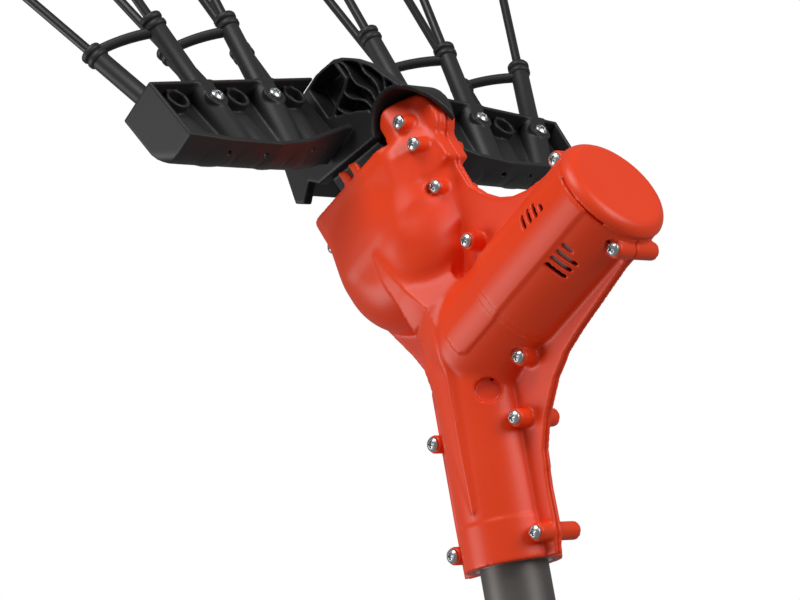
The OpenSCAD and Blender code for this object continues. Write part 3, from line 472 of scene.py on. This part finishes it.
def barrel_form(at):
    main = rounded([at.from_motor - BARREL_R, span(at.s, STEP_S, BARREL_END)], BARREL_EDGE)
    ring = rounded([at.from_motor - BARREL_R + RING_IN, span(at.s, STEP_S - RING_W, BARREL_END)], RING_EDGE)
    start = rounded([at.from_motor - BARREL_R + STEP_IN, span(at.s, BARREL_START, BARREL_END)], BARREL_ROUND)
    return np.minimum(np.minimum(main, ring), start)


def body_form(at):
    from_belly = np.hypot(at.s - BELLY_S, at.p - BELLY_P)
    belly = rounded([from_belly - BELLY_R, at.depth - BELLY_HALF], BELLY_ROUND)
    upright = rounded([span(at.s, MOUTH_LEFT, MOUTH_RIGHT), at.depth - MOUTH_HALF], MOUTH_ROUND)
    mouth = rounded([upright, span(at.p, MOUTH_LOW, MOUTH_TOP)], MOUTH_EDGE)
    mouth = smooth_max(mouth, slope_form(at) - MOUTH_BEVEL, BEVEL_BLEND)
    return smooth_min(smooth_min(mouth, flank_form(at), FLANK_BLEND), belly, BELLY_BLEND)


def slope_form(at):
    """How far a place lies outside the nose's sloping face, which leans back below the nose."""
    lean = FLANK_LEAN * np.maximum(FLANK_P - at.p, 0)
    return (at.depth - NOSE_HALF + lean) * math.cos(SLOPE) + (at.s - SLOPE_S) * math.sin(SLOPE)


def flank_form(at):
    """The shoulder between the mouth's front and the nose's slope."""
    sides = [span(at.s, FLANK_LEFT, FLANK_RIGHT), at.depth - MOUTH_HALF, span(at.p, FLANK_LOW, FLANK_TOP)]
    return smooth_max(rounded(sides, FLANK_ROUND), slope_form(at), SLOPE_BLEND)


def nose_form(at):
    """The round of the nose on its root; the slope stops where the lever's slot needs a wall."""
    round_end = rounded([at.from_pivot - NOSE_R, at.depth - NOSE_HALF], NOSE_EDGE)
    sides = [span(at.s, ROOT_LEFT, ROOT_RIGHT), at.depth - NOSE_HALF, span(at.p, ROOT_LOW, PIVOT_P)]
    slope = smooth_min(slope_form(at), at.depth - NOSE_FLOOR, SLOPE_BLEND)
    return smooth_max(smooth_min(round_end, rounded(sides, NOSE_EDGE), NOSE_EDGE), slope, NOSE_EDGE)


def rim_form(at):
    outline = np.minimum(polygon(at.s, at.p, RIM), at.from_pivot - NOSE_R - NOSE_RIM)
    outline = np.minimum(outline, polygon(at.x, at.h, NECK_RIM))
    return rounded([outline, at.depth - RIM_T], RIM_EDGE)


def keel_form(at):
    """A low roof along the keel, with a face of its own width on the left and a steeper fall on the right."""
    best = None
    form = None
    for (ax, ah, *a), (bx, bh, *b) in zip(KEEL, KEEL[1:]):
        ex, eh = bx - ax, bh - ah
        share = np.clip(((at.x - ax) * ex + (at.h - ah) * eh) / (ex * ex + eh * eh), 0, 1)
        far = np.hypot(at.x - ax - ex * share, at.h - ah - eh * share)
        left = ex * (at.h - ah) - eh * (at.x - ax) < 0
        depth, fall, other, width = (p + (q - p) * share for p, q in zip(a, b))
        roof = at.depth - depth + far * np.where(left, fall, other)
        roof = smooth_max(roof, far - np.where(left, width, KEEL_WIDE), KEEL_EDGE)
        nearer = far < best if best is not None else None
        form = roof if form is None else np.where(nearer, roof, form)
        best = far if best is None else np.minimum(best, far)
    return np.maximum(form, KEEL_LOW - at.depth)


def emboss_band(form, at):
    """Lifts the form's face under the band by a little, all along the front of the barrel."""
    band = rounded([BAND_START - at.s, np.abs(at.p - BAND_P) - BAND_HALF], BAND_CORNER)
    return np.minimum(form, np.maximum(np.maximum(form - BAND_RISE, band), at.y))


def hook_form(at):
    form = None
    for left, right, top in HOOKS:
        crest = (at.p - top + HOOK_LEAN * (at.s - left)) / math.hypot(1, HOOK_LEAN)
        wall = span(at.y, -MOUTH_HALF, HOOK_T - MOUTH_HALF)
        hook = rounded([span(at.s, left, right), wall, crest, HOOK_LOW - at.p], DETAIL_EDGE)
        form = hook if form is None else np.minimum(form, hook)
    return form


def oval_recess(at):
    out = at.x * math.cos(OVAL_TURN) + at.y * math.sin(OVAL_TURN) - NECK_R
    across = at.y * math.cos(OVAL_TURN) - at.x * math.sin(OVAL_TURN)
    pit = (np.hypot(across / OVAL_WIDE, (at.h - OVAL_H) / OVAL_HIGH) - 1) * OVAL_HIGH
    return rounded([pit, span(out, -OVAL_DEEP, 2 * OVAL_DEEP)], DETAIL_EDGE)


def vents(form, at):
    """Cuts the vent slits through the front of the barrel."""
    for first, slits in VENTS:
        for i, (turn, half) in enumerate(slits):
            turn = math.radians(turn)
            across = at.p * math.cos(turn) + at.y * math.sin(turn)
            along = np.abs(at.s - first - VENT_PITCH * i)
            slit = rounded([along - VENT_HALF, np.abs(across) - half], VENT_HALF)
            form = np.maximum(form, -np.maximum(slit, at.y + VENT_FRONT))
    return form


def housing(at):
    """The closed form with its hollow, bosses and openings."""
    barrel = barrel_form(at)
    case = rounded([at.from_crank - CASE_R, span(at.y, CASE_FRONT, CASE_REAR)], CASE_ROUND)
    core = smooth_min(smooth_min(case, barrel, CASE_BLEND), body_form(at), BODY_BLEND)
    form = smooth_max(core, at.p - LIP_P - LIP_LEAN * (MOUTH_RIGHT - at.s), LIP_EDGE)
    form = smooth_min(form, neck_form(at), NECK_BLEND)
    form = smooth_min(form, keel_form(at), KEEL_BLEND)
    form = smooth_min(form, nose_form(at), NOSE_BLEND)
    form = smooth_min(form, rim_form(at), RIM_BLEND)
    form = emboss_band(form, at)
    form = np.minimum(form, hook_form(at))
    form = np.maximum(form, -oval_recess(at))
    form = np.maximum(np.maximum(form, -core - WALL), -at.h)
    for x, z, front, back in HOUSING_SCREWS:
        reach = np.hypot(at.x - x, at.z - z)
        seat = front + SCREW_HEAD
        r = NOSE_BOSS_R if mech(Vector((x, 0, z)))[1] > NOSE_BOSS_P else BOSS_R
        boss = rounded([reach - r, span(at.y, seat, back + BOSS_TAIL)], DETAIL_EDGE)
        form = smooth_min(form, boss, BOSS_BLEND)
        over = rounded([reach - BOSS_R + SEAM, span(at.y, -2 * BARREL_R, seat)], BORE_EDGE)
        form = np.maximum(form, -over)
    slot = [span(at.s, SLOT_LEFT, PIVOT_S), at.depth - SLOT_HALF, PIVOT_P - SLOT_DEEP - at.p]
    form = np.maximum(form, -rounded(slot, SLOT_EDGE))
    form = np.maximum(form, -np.maximum(at.from_pivot - KNUCKLE_R, at.depth - SLOT_HALF))
    form = np.maximum(form, -np.maximum(at.from_pole - BORE_R, at.h - BORE_TOP))
    form = np.maximum(form, -np.maximum(at.from_pole - COLLAR_R, at.h - COLLAR_TOP))
    return vents(form, at)


def make_shell(name, node, side):
    """One half of the housing, cut off at the parting plane."""
    low, high = (row_mm(v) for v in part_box(node))
    low, high = low - SHELL_ROOM, high + SHELL_ROOM
    at = Head(*grid(low, high, SHELL_STEP))
    form = np.maximum(housing(at), SEAM - side * at.y)
    made = surface(name, form, low, SHELL_STEP, "orange_plastic")
    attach(made, "housing")
    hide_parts(node)


make_shell("front_housing", "front_shell", -1)
make_shell("rear_housing", "rear_shell", 1)


# Motor cap: a lid with a round edge, two slots at its front and a narrow bridge between them

CAP_STEP = 0.7
CAP_R, CAP_ROUND = 30.4, 7
CAP_GAP, CAP_LAP, CAP_RING_IN, CAP_ROOM = 1.3, 1, 0.25, 3
# Turns about the motor axis, in degrees, of the slots' ends and of the bridge
SLOT_LOW, SLOT_HIGH = -46.5, 17.4
BRIDGE, BRIDGE_HALF = -11.5, 2.3


def make_cap():
    reach = CAP_R + CAP_ROOM
    low = (BARREL_END - CAP_ROOM, -reach, -reach)
    high = (CAP_END + CAP_ROOM, reach, reach)
    s, y, p = grid(low, high, CAP_STEP)
    radius = np.hypot(y, p)
    lid = rounded([radius - CAP_R, span(s, BARREL_END - 2 * CAP_ROUND, CAP_END)], CAP_ROUND)
    lid = np.maximum(lid, BARREL_END + CAP_GAP - s)
    inner = np.maximum(radius - BARREL_R + WALL, span(s, BARREL_END - CAP_LAP, CAP_END - CAP_LAP))
    turn = np.degrees(np.arctan2(p, -y))
    clear = np.maximum(span(turn, SLOT_LOW, SLOT_HIGH), BRIDGE_HALF - np.abs(turn - BRIDGE))
    clear = clear * math.pi / 180 * BARREL_R
    ring = span(s, BARREL_END - CAP_LAP, BARREL_END + CAP_GAP + CAP_LAP)
    ring = np.maximum(radius - BARREL_R + CAP_RING_IN, ring)
    form = np.minimum(np.minimum(lid, inner), np.maximum(ring, -clear))
    place = Matrix.Translation((0, 0, AXIS_Z)) @ Matrix.Rotation(-TILT, 4, "Y")
    made = surface("barrel_cap", form, low, CAP_STEP, "orange_plastic", place)
    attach(made, "housing")
    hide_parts("motor_cap")


make_cap()


# Comb: its frame stands on the pivot and leans more than the motor axis; an arm's frame is swept back

COMB_STEP = 0.75
COMB_TILT = math.radians(29.5)
ARM_SWEEP = math.radians(8)
ARM_FRONT, ARM_BACK = -21.5, -48.5
ARM_TOP = 61
ARM_LEN = 143
ARM_START = 20.5
# Side of an arm and of its pockets, as (y, z) points
ARM_SIDE = [(-20, 61), (143, 61), (143, 23), (117, 17), (84, 12.4), (61, 13.5), (26, 22), (-20, 22)]
POCKET = [(18, 59), (141, 59), (141, 26), (116, 20), (84, 15), (62, 16.2), (18, 26.5)]
BACK_POCKET = [(27, 58), (140, 58), (140, 34), (27, 34)]
BACK_LOW, BACK_RISE, BACK_ROUND = 12.5, 0.12, 6
WEB_FRONT, WEB_BACK = -32.5, -37.5
TINE_OUT, TINE_PITCH = 127.2, 23.2
ROW_MID, ROW_HALF = -33.1, 6.1
FRONT_LEAN, BACK_LEAN, FAN_STEP = math.radians(9), math.radians(-4), math.radians(6)
COLUMN_R, COLUMN_DEEP = 7.6, 45
SCREW_DOWN, SCREW_SEAT = 12, 7.1
BOSS_OUT, BOSS_IN = 6.6, 4.9
RING_MID, RING_HALF, RING_LIFT, RING_OUT = 5.9, 0.9, 4, 6.5
SOCKETS = range(1, 6)
# Small holes in the underside of the arms, as y places along an arm
UNDER_HOLES = {-1: (52, 90, 115), 1: (83, 103)}
UNDER_X, UNDER_R, UNDER_TOP = -30, 1.5, 20
# Radii of edges and blends on the arms, and free cells round them
ARM_EDGE, POCKET_EDGE, BACK_EDGE, COLUMN_BLEND = 0.9, 1, 1.5, 2
SEAT_EDGE, HOLE_EDGE, LOOP_EDGE = 0.6, 0.3, 0.5
ARM_ROOM, ARM_INNER_ROOM, ARM_FLOOR = 2, 4, 8

COMB = Matrix.Translation(PIVOT) @ Matrix.Rotation(-COMB_TILT, 4, "Y")


def arm_matrix(side):
    """From an arm's own frame, where y runs outwards on both sides, to the row frame."""
    return COMB @ Matrix.Rotation(-side * ARM_SWEEP, 4, "X") @ Matrix.Diagonal((1, side, 1, 1))


def row_of(side, i):
    """1 where a tine stands in the front row, -1 in the back row."""
    return -1 if (side < 0) == (i % 2 == 1) else 1


def tine_line(side, i):
    """Foot on the arm's top and direction of a tine, in the arm's frame."""
    row = row_of(side, i)
    lean = FRONT_LEAN if row > 0 else BACK_LEAN
    fan = FAN_STEP * (3 - i)
    foot = Vector((ROW_MID + row * ROW_HALF, TINE_OUT - (i - 1) * TINE_PITCH, ARM_TOP))
    return foot, Vector((math.sin(lean), math.cos(lean) * math.sin(fan), math.cos(lean) * math.cos(fan)))


def screw_point(side, i):
    foot, along = tine_line(side, i)
    return foot - SCREW_DOWN * along


def socket(form, block, side, i, x, y, z):
    """Adds a tine's column, the seat of its screw and the ring round the screw's far end."""
    foot, along = tine_line(side, i)
    column = bead(x, y, z, [tuple(foot - COLUMN_DEEP * along), tuple(foot)], COLUMN_R)
    form = smooth_min(form, np.maximum(column, block), COLUMN_BLEND)
    point = screw_point(side, i)
    row = row_of(side, i)
    reach = np.hypot(y - point.y, z - point.z)
    seat = point.x + row * SCREW_SEAT
    boss = rounded([reach - BOSS_OUT, span(x, min(seat, ROW_MID), max(seat, ROW_MID))], SEAT_EDGE)
    form = np.minimum(form, boss)
    form = np.maximum(form, -rounded([reach - BOSS_IN, row * (seat - x)], HOLE_EDGE))
    far = WEB_FRONT if row < 0 else WEB_BACK
    reach = np.hypot(y - point.y, z - point.z - RING_LIFT)
    ring = rounded([np.abs(reach - RING_MID) - RING_HALF, np.abs(x - far) - RING_OUT], LOOP_EDGE)
    return np.minimum(form, np.maximum(ring, block))


def make_arm(name, side):
    low = (ARM_BACK - ARM_ROOM, ARM_START - ARM_INNER_ROOM, ARM_FLOOR)
    high = (ARM_FRONT + ARM_ROOM, ARM_LEN + ARM_ROOM, ARM_TOP + ARM_ROOM)
    x, y, z = grid(low, high, COMB_STEP)
    block = rounded([span(x, ARM_BACK, ARM_FRONT), polygon(y, z, ARM_SIDE)], ARM_EDGE)
    block = smooth_max(block, (ARM_BACK - x + BACK_LOW + BACK_RISE * y - z) * math.sqrt(0.5), BACK_ROUND)
    front = rounded([WEB_FRONT - x, polygon(y, z, POCKET)], POCKET_EDGE)
    back = rounded([x - WEB_BACK, polygon(y, z, BACK_POCKET)], BACK_EDGE)
    form = np.maximum(np.maximum(block, -front), -back)
    for i in SOCKETS:
        form = socket(form, block, side, i, x, y, z)
    for place in UNDER_HOLES[side]:
        hole = np.maximum(np.hypot(x - UNDER_X, y - place) - UNDER_R, z - UNDER_TOP)
        form = np.maximum(form, -hole)
    form = np.maximum(form, ARM_START - y)
    made = surface(name, form, low, COMB_STEP, "black_plastic", arm_matrix(side))
    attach(made, "comb")
    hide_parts("comb_carrier")


# Hub of the comb, with the arch that runs over the nose
ARCH_R, ARCH_WALL, ARCH_REAR = 17.3, 2.4, 2
ARCH_START, ARCH_END = math.radians(-45), math.radians(80)
ARCH_CUT_Z, ARCH_CUT = 10.8, math.radians(46)
# The hub's front and roof fall back behind its crest
HUB_HALF, HUB_CREST, HUB_FALL = 21.5, -15, 0.62
# Side of the hub and of the skirt that covers the mouth, as (x, z) points in the comb's frame
HUB = [
    (15.6, 13), (11.6, 24.3), (8.5, 36), (1.5, 48.4), (-4, 55), (-9.1, 59), (-18.7, 61.8), (-24, 63),
    (-44, 62.5), (-48.3, 55), (-48.3, 23), (-36, 19.8), (-9.2, 4.6),
]
SKIRT = [
    (-40, 45), (-75, 43.7), (-81.4, 24), (-76.8, 19), (-66, 24.8), (-61.6, 18.4), (-9.2, 3.7), (-9.2, 19.8),
]
# Wall of the skirt that goes down into the mouth
INNER = [(-19, -6), (-19, 14), (-57, 24), (-57, 5)]
INNER_OUT, INNER_IN = 15.6, 12.6
HUB_EDGE = 1.8
RIB_FIRST, RIB_STEP, RIBS = math.radians(72), math.radians(13), 7
RIB_HALF, RIB_WAVE = 0.75, 1.3
RING_R, RING_WAVE, RING_WAVES = 44, 1.6, 9
FAN_LEFT, FAN_DEEP, FAN_WALL, ROOT_LOW_Z = -8.5, 9, 2.2, 28
ROOM_NEAR, ROOM_FAR, ROOM_TOP, ROOM_HALF = -12.5, -95, 24, 15.5
# Radii of edges and blends on the hub, and the box of its grid
HUB_ROUND, FALL_BLEND, PIT_EDGE, ARCH_EDGE, SKIRT_EDGE, INNER_EDGE = 1, 2, 0.8, 0.6, 0.8, 0.6
HUB_LEFT, HUB_RIGHT, HUB_LOW, HUB_SIDE_ROOM, HUB_TOP_ROOM = -84, 26, -22, 3, 8


def hub_pockets(outline, depth, x, z):
    """The deep fan of pockets between wavy ribs, and the pocket of the arm's root beyond their wavy wall."""
    radius = np.hypot(x, z)
    turn = np.arctan2(z, x)
    ring = RING_R + RING_WAVE * np.sin(RING_WAVES * turn)
    start = ARCH_R + ARCH_WALL
    inside = np.minimum(radius - ring, FAN_LEFT - x)
    pocket = rounded([outline + HUB_EDGE, inside, start - radius, FAN_DEEP - depth], PIT_EDGE)
    wave = RIB_WAVE * np.sin((radius - start) * (2 * math.pi / (RING_R - start)))
    for k in range(RIBS):
        a = RIB_FIRST + RIB_STEP * k
        off = math.cos(a) * z - math.sin(a) * x + wave
        pocket = smooth_max(pocket, RIB_HALF - np.abs(off), PIT_EDGE)
    sides = [outline + HUB_EDGE, FAN_WALL - inside, WEB_FRONT - x, FAN_DEEP - depth, ROOT_LOW_Z - z]
    return np.minimum(pocket, rounded(sides, PIT_EDGE))


def arch_form(x, y, z):
    """The thin end of the arch, whose front edge falls back as it comes down over the nose."""
    radius = np.hypot(x, z)
    start = math.sin(ARCH_START) * x - math.cos(ARCH_START) * z
    end = math.cos(ARCH_END) * z - math.sin(ARCH_END) * x
    wall = span(radius, ARCH_R, ARCH_R + ARCH_WALL)
    ring = rounded([wall, span(y, -HUB_HALF, ARCH_REAR), start, end], ARCH_EDGE)
    cut = (ARCH_CUT_Z - z) * math.sin(ARCH_CUT) - (y + HUB_HALF) * math.cos(ARCH_CUT)
    return np.maximum(ring, cut)


def make_hub():
    reach = HUB_HALF + HUB_SIDE_ROOM
    low = (HUB_LEFT, -reach, HUB_LOW)
    high = (HUB_RIGHT, reach, ARM_TOP + HUB_TOP_ROOM)
    x, y, z = grid(low, high, COMB_STEP)
    depth = np.abs(y)
    back = HUB_FALL * np.maximum(y - HUB_CREST, 0)
    outline = smooth_max(polygon(x, z, HUB), polygon(x + back, z, HUB), FALL_BLEND)
    form = rounded([outline, depth - HUB_HALF], HUB_ROUND)
    form = np.maximum(form, -hub_pockets(outline, depth, x, z))
    form = np.minimum(form, rounded([polygon(x, z, SKIRT), depth - HUB_HALF], SKIRT_EDGE))
    form = np.minimum(form, arch_form(x, y, z))
    slant = COMB_TILT - TILT
    s = x * math.cos(slant) - z * math.sin(slant)
    p = x * math.sin(slant) + z * math.cos(slant)
    room = np.maximum(np.maximum(span(s, ROOM_FAR, ROOM_NEAR), depth - ROOM_HALF), p - ROOM_TOP)
    form = np.maximum(np.maximum(form, -room), ARCH_R - np.hypot(x, z))
    inner = rounded([polygon(x, z, INNER), span(depth, INNER_IN, INNER_OUT)], INNER_EDGE)
    form = np.minimum(form, inner)
    made = surface("comb_hub", form, low, COMB_STEP, "black_plastic", COMB)
    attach(made, "comb")
    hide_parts("comb_carrier")


make_arm("comb_arm_left", -1)
make_arm("comb_arm_right", 1)
make_hub()


# Tine holders

SLEEVE_R, SLEEVE_UP = 5, 46
# Heights, and what the radius has over the sleeve's, of the sleeve's foot and of a collar below its top
SLEEVE_FOOT = ((-3, 0.5), (0, 0.5), (1.2, 0.1))
COLLAR = ((-3.6, 0), (-3.3, 0.7), (-2.6, 1.1), (-0.9, 1.1), (-0.25, 0.7), (0, 0.2))
COLLAR_DROP = 4.4
LIP_UP, LIP_IN, SLEEVE_BORE = 0.3, 0.8, 2.6
# Bowed bridge of a pair: how far below the sleeves' tops it starts in the back and the front row
BOW_DROP = {-1: 2.2, 1: 9.5}
BOW_RISE, BOW_STEPS, BOW_SIDES, BOW_WIDE, BOW_HIGH = 4, 18, 20, 2.6, 3.0
HOLDER_SHARP = math.radians(50)


def tube(rings):
    """Vertices and faces of a closed tube through rings of equal length."""
    n = len(rings[0])
    points = [p for ring in rings for p in ring]
    faces = []
    for i in range(len(rings) - 1):
        for k in range(n):
            a, b = i * n + k, i * n + (k + 1) % n
            faces.append((a, b, b + n, a + n))
    faces.append(tuple(range(n))[::-1])
    faces.append(tuple(len(points) - n + k for k in range(n)))
    return points, faces


def circle(centre, along, r, sides=32):
    across = along.orthogonal().normalized()
    other = along.cross(across).normalized()
    turns = np.arange(sides) * 2 * math.pi / sides
    return [centre + r * (math.cos(a) * across + math.sin(a) * other) for a in turns]


def sleeve(side, i):
    """A sleeve round a tine's foot, with two collars and an open lip."""
    foot, along = tine_line(side, i)
    profile = [(h, SLEEVE_R + more) for h, more in SLEEVE_FOOT]
    for top in (SLEEVE_UP - COLLAR_DROP, SLEEVE_UP):
        profile += [(top + h, SLEEVE_R + more) for h, more in COLLAR]
    profile += [(SLEEVE_UP + LIP_UP, SLEEVE_R - LIP_IN), (SLEEVE_UP + LIP_UP, SLEEVE_BORE)]
    return tube([circle(foot + h * along, along, r) for h, r in profile])


def bridge(side, i):
    """The bowed bar from one sleeve to the next."""
    ends = []
    for k in (i, i + 1):
        foot, along = tine_line(side, k)
        ends.append(foot + (SLEEVE_UP - BOW_DROP[row_of(side, k)]) * along)
    a, b = ends
    bow = (a + b) / 2 + Vector((0, 0, BOW_RISE))
    centres = [a * (1 - t) ** 2 + bow * (2 * t * (1 - t)) + b * t**2 for t in np.linspace(0, 1, BOW_STEPS)]
    turns = np.arange(BOW_SIDES) * 2 * math.pi / BOW_SIDES
    rings = []
    for n, centre in enumerate(centres):
        along = (centres[min(n + 1, BOW_STEPS - 1)] - centres[max(n - 1, 0)]).normalized()
        across = along.cross(Vector((1, 0, 0))).normalized() * BOW_WIDE
        other = along.cross(across).normalized() * BOW_HIGH
        rings.append([centre + math.cos(t) * across + math.sin(t) * other for t in turns])
    return tube(rings)


def make_holder(name, side, first, pair):
    """One sleeve, or two with their bridge; the left side's frame is mirrored, so its faces are turned."""
    parts = [sleeve(side, first)]
    if pair:
        parts += [sleeve(side, first + 1), bridge(side, first)]
    points, faces = [], []
    turn = arm_matrix(side)
    for p, f in parts:
        order = -1 if side < 0 else 1
        faces += [tuple(len(points) + k for k in face[::order]) for face in f]
        points += [turn @ q * MM for q in p]
    mesh = bpy.data.meshes.new(name + "_sleeves")
    mesh.from_pydata(points, [], faces)
    mesh.update()
    mesh.shade_smooth()
    mesh.set_sharp_from_angle(angle=HOLDER_SHARP)
    made = piece(name + "_sleeves", mesh, "black_plastic")
    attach(made, "comb")
    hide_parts(name)


for label, side in (("left", -1), ("right", 1)):
    make_holder(f"holder_{label}_outer", side, 1, True)
    make_holder(f"holder_{label}_inner", side, 3, True)
    make_holder(f"holder_{label}_single", side, 5, False)


# Pivot shaft: thick in the comb's knuckle, thin in the bosses on both sides of it

# Depth and radius of each ring
SHAFT = ((-12, 2.9), (-7, 2.9), (-7, 6), (7, 6), (7, 2.9), (12, 2.9))


def make_shaft():
    along = Vector((0, 1, 0))
    rings = [circle(PIVOT + along * y, along, r) for y, r in SHAFT]
    points, faces = tube(rings)
    mesh = bpy.data.meshes.new("pivot_shaft_stepped")
    mesh.from_pydata([p * MM for p in points], [], faces)
    mesh.update()
    made = piece("pivot_shaft_stepped", mesh, "bright_steel")
    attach(made, "housing")
    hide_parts("pivot_shaft")


make_shaft()


# Screws: one head with a cross recess, set on every place by Geometry Nodes

HEAD_R, HEAD_STEP, HEAD_ROOM, HEAD_LOW = 3.7, 0.2, 0.6, -1
HEAD_SKIRT, HEAD_EDGE, HEAD_FLAT = 0.6, 0.2, 1.25
# Recess, as shares of the head's radius and height
CROSS_HALF, CROSS_TAPER, CROSS_REACH, CROSS_FLOOR = 0.16, 0.14, 0.56, 0.25


def screw_template(name, r, rise):
    reach = r + HEAD_ROOM
    low = (-reach, -reach, HEAD_LOW)
    x, y, z = grid(low, (reach, reach, rise + HEAD_ROOM), HEAD_STEP)
    radius = np.sqrt(x * x + y * y)
    ball = (r * r + rise * rise) / (2 * rise) * HEAD_FLAT
    dome = np.maximum(np.sqrt(radius**2 + (z - rise + ball) ** 2) - ball, radius - r)
    form = rounded([np.maximum(dome, -HEAD_SKIRT - z)], HEAD_EDGE)
    cross = np.minimum(np.abs(x), np.abs(y)) - CROSS_HALF * r + CROSS_TAPER * (rise - z)
    recess = np.maximum(np.maximum(cross, radius - CROSS_REACH * r), CROSS_FLOOR * rise - z)
    return surface(name, np.maximum(form, -recess), low, HEAD_STEP, "zinc_steel")


# Places of the Random Value node's sockets for a single number
CHANCE_MAX, CHANCE_VALUE = 3, 1


def scatter_tree(name):
    """Sets an object on every point, turned by one angle set and then about its own axis by chance."""
    tree = bpy.data.node_groups.new(name, "GeometryNodeTree")
    face = tree.interface
    kinds = {"Geometry": "Geometry", "Object": "Object", "Turn": "Vector", "Material": "Material"}
    for label, kind in kinds.items():
        face.new_socket(label, in_out="INPUT", socket_type="NodeSocket" + kind)
    face.new_socket("Geometry", in_out="OUTPUT", socket_type="NodeSocketGeometry")
    make = tree.nodes.new
    link = tree.links.new
    given, out = make("NodeGroupInput"), make("NodeGroupOutput")
    info = make("GeometryNodeObjectInfo")
    spread = make("GeometryNodeInstanceOnPoints")
    real = make("GeometryNodeRealizeInstances")
    paint = make("GeometryNodeSetMaterial")
    turn = make("FunctionNodeEulerToRotation")
    spin = make("FunctionNodeAxisAngleToRotation")
    both = make("FunctionNodeRotateRotation")
    chance = make("FunctionNodeRandomValue")
    both.rotation_space = "LOCAL"
    chance.data_type = "FLOAT"
    chance.inputs[CHANCE_MAX].default_value = math.pi / 2
    spin.inputs["Axis"].default_value = (0, 0, 1)
    link(given.outputs["Geometry"], spread.inputs["Points"])
    link(given.outputs["Object"], info.inputs["Object"])
    link(info.outputs["Geometry"], spread.inputs["Instance"])
    link(given.outputs["Turn"], turn.inputs["Euler"])
    link(chance.outputs[CHANCE_VALUE], spin.inputs["Angle"])
    link(turn.outputs[0], both.inputs["Rotation"])
    link(spin.outputs[0], both.inputs["Rotate By"])
    link(both.outputs[0], spread.inputs["Rotation"])
    link(spread.outputs[0], real.inputs[0])
    link(real.outputs[0], paint.inputs["Geometry"])
    link(given.outputs["Material"], paint.inputs["Material"])
    link(paint.outputs[0], out.inputs[0])
    return tree


SCATTER = scatter_tree("scatter")


def scatter(name, template, points, turn, body, node):
    """A plain mesh of the template on every point, riding on a body in place of a CAD node."""
    mesh = bpy.data.meshes.new(name + "_points")
    mesh.from_pydata([tuple(Vector(p) * MM) for p in points], [], [])
    holder = bpy.data.objects.new(name + "_points", mesh)
    bpy.context.scene.collection.objects.link(holder)
    modifier = holder.modifiers.new("scatter", "NODES")
    modifier.node_group = SCATTER
    sockets = {s.name: s.identifier for s in SCATTER.interface.items_tree if s.in_out == "INPUT"}
    modifier[sockets["Object"]] = template
    modifier[sockets["Turn"]] = tuple(turn)
    modifier[sockets["Material"]] = MATERIALS["zinc_steel"]
    bpy.context.view_layer.update()
    solid = bpy.data.meshes.new_from_object(holder.evaluated_get(bpy.context.evaluated_depsgraph_get()))
    bpy.data.objects.remove(holder)
    solid.shade_smooth()
    made = piece(name, solid, "zinc_steel")
    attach(made, body)
    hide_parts(node)


def turn_to(direction):
    """The turn that brings Z to a direction."""
    return Vector(direction).to_track_quat("Z", "Y").to_euler()


head = screw_template("screw_head", HEAD_R, SCREW_HEAD)
seats = [(x, front + SCREW_HEAD, z) for x, z, front, back in HOUSING_SCREWS]
scatter("housing_screw_heads", head, seats, turn_to((0, -1, 0)), "housing", "shell_screws")
forward = COMB.to_3x3() @ Vector((1, 0, 0))
for label, row in (("front", 1), ("back", -1)):
    seats = []
    for side in (-1, 1):
        for i in SOCKETS:
            if row_of(side, i) == row:
                seats.append(arm_matrix(side) @ (screw_point(side, i) + Vector((row * SCREW_SEAT, 0, 0))))
    scatter(f"tine_screw_heads_{label}", head, seats, turn_to(row * forward), "comb", "tine_screws")
bpy.data.objects.remove(head)


# Materials of the CAD nodes that stay in sight

for part in frame["record"]["subparts"]:
    node = frame["nodes"][part["node"]]
    node.data.materials.clear()
    node.data.materials.append(MATERIALS[part["material_slot"]])


# Light: a white surround for the camera, a dimmer one for everything else, and three soft lamps

SURROUND = 0.22
LAMP_TARGET = Vector((0, 0, 0.25))
# Name, place and size in metres, and power
LAMPS = (
    ("key", (0.3, -1.0, 1.6), 0.9, 16),
    ("side", (1.6, 0.2, 0.7), 1.0, 15),
    ("low", (-1.1, -1.3, -0.1), 1.0, 14),
)


def make_light():
    world = bpy.data.worlds.new("studio")
    bpy.context.scene.world = world
    world.use_nodes = True
    tree = world.node_tree
    tree.nodes.clear()
    path = tree.nodes.new("ShaderNodeLightPath")
    white = tree.nodes.new("ShaderNodeBackground")
    soft = tree.nodes.new("ShaderNodeBackground")
    white.inputs["Color"].default_value = (1, 1, 1, 1)
    soft.inputs["Color"].default_value = (1, 1, 1, 1)
    soft.inputs["Strength"].default_value = SURROUND
    mix = tree.nodes.new("ShaderNodeMixShader")
    out = tree.nodes.new("ShaderNodeOutputWorld")
    tree.links.new(path.outputs["Is Camera Ray"], mix.inputs["Fac"])
    tree.links.new(soft.outputs[0], mix.inputs[1])
    tree.links.new(white.outputs[0], mix.inputs[2])
    tree.links.new(mix.outputs[0], out.inputs["Surface"])
    for name, place, size, power in LAMPS:
        data = bpy.data.lights.new(name, "AREA")
        data.size = size
        data.energy = power
        lamp = bpy.data.objects.new(name, data)
        bpy.context.scene.collection.objects.link(lamp)
        lamp.location = place
        lamp.rotation_euler = (LAMP_TARGET - Vector(place)).to_track_quat("-Z", "Y").to_euler()


make_light()
bpy.context.scene.view_settings.view_transform = "Standard"
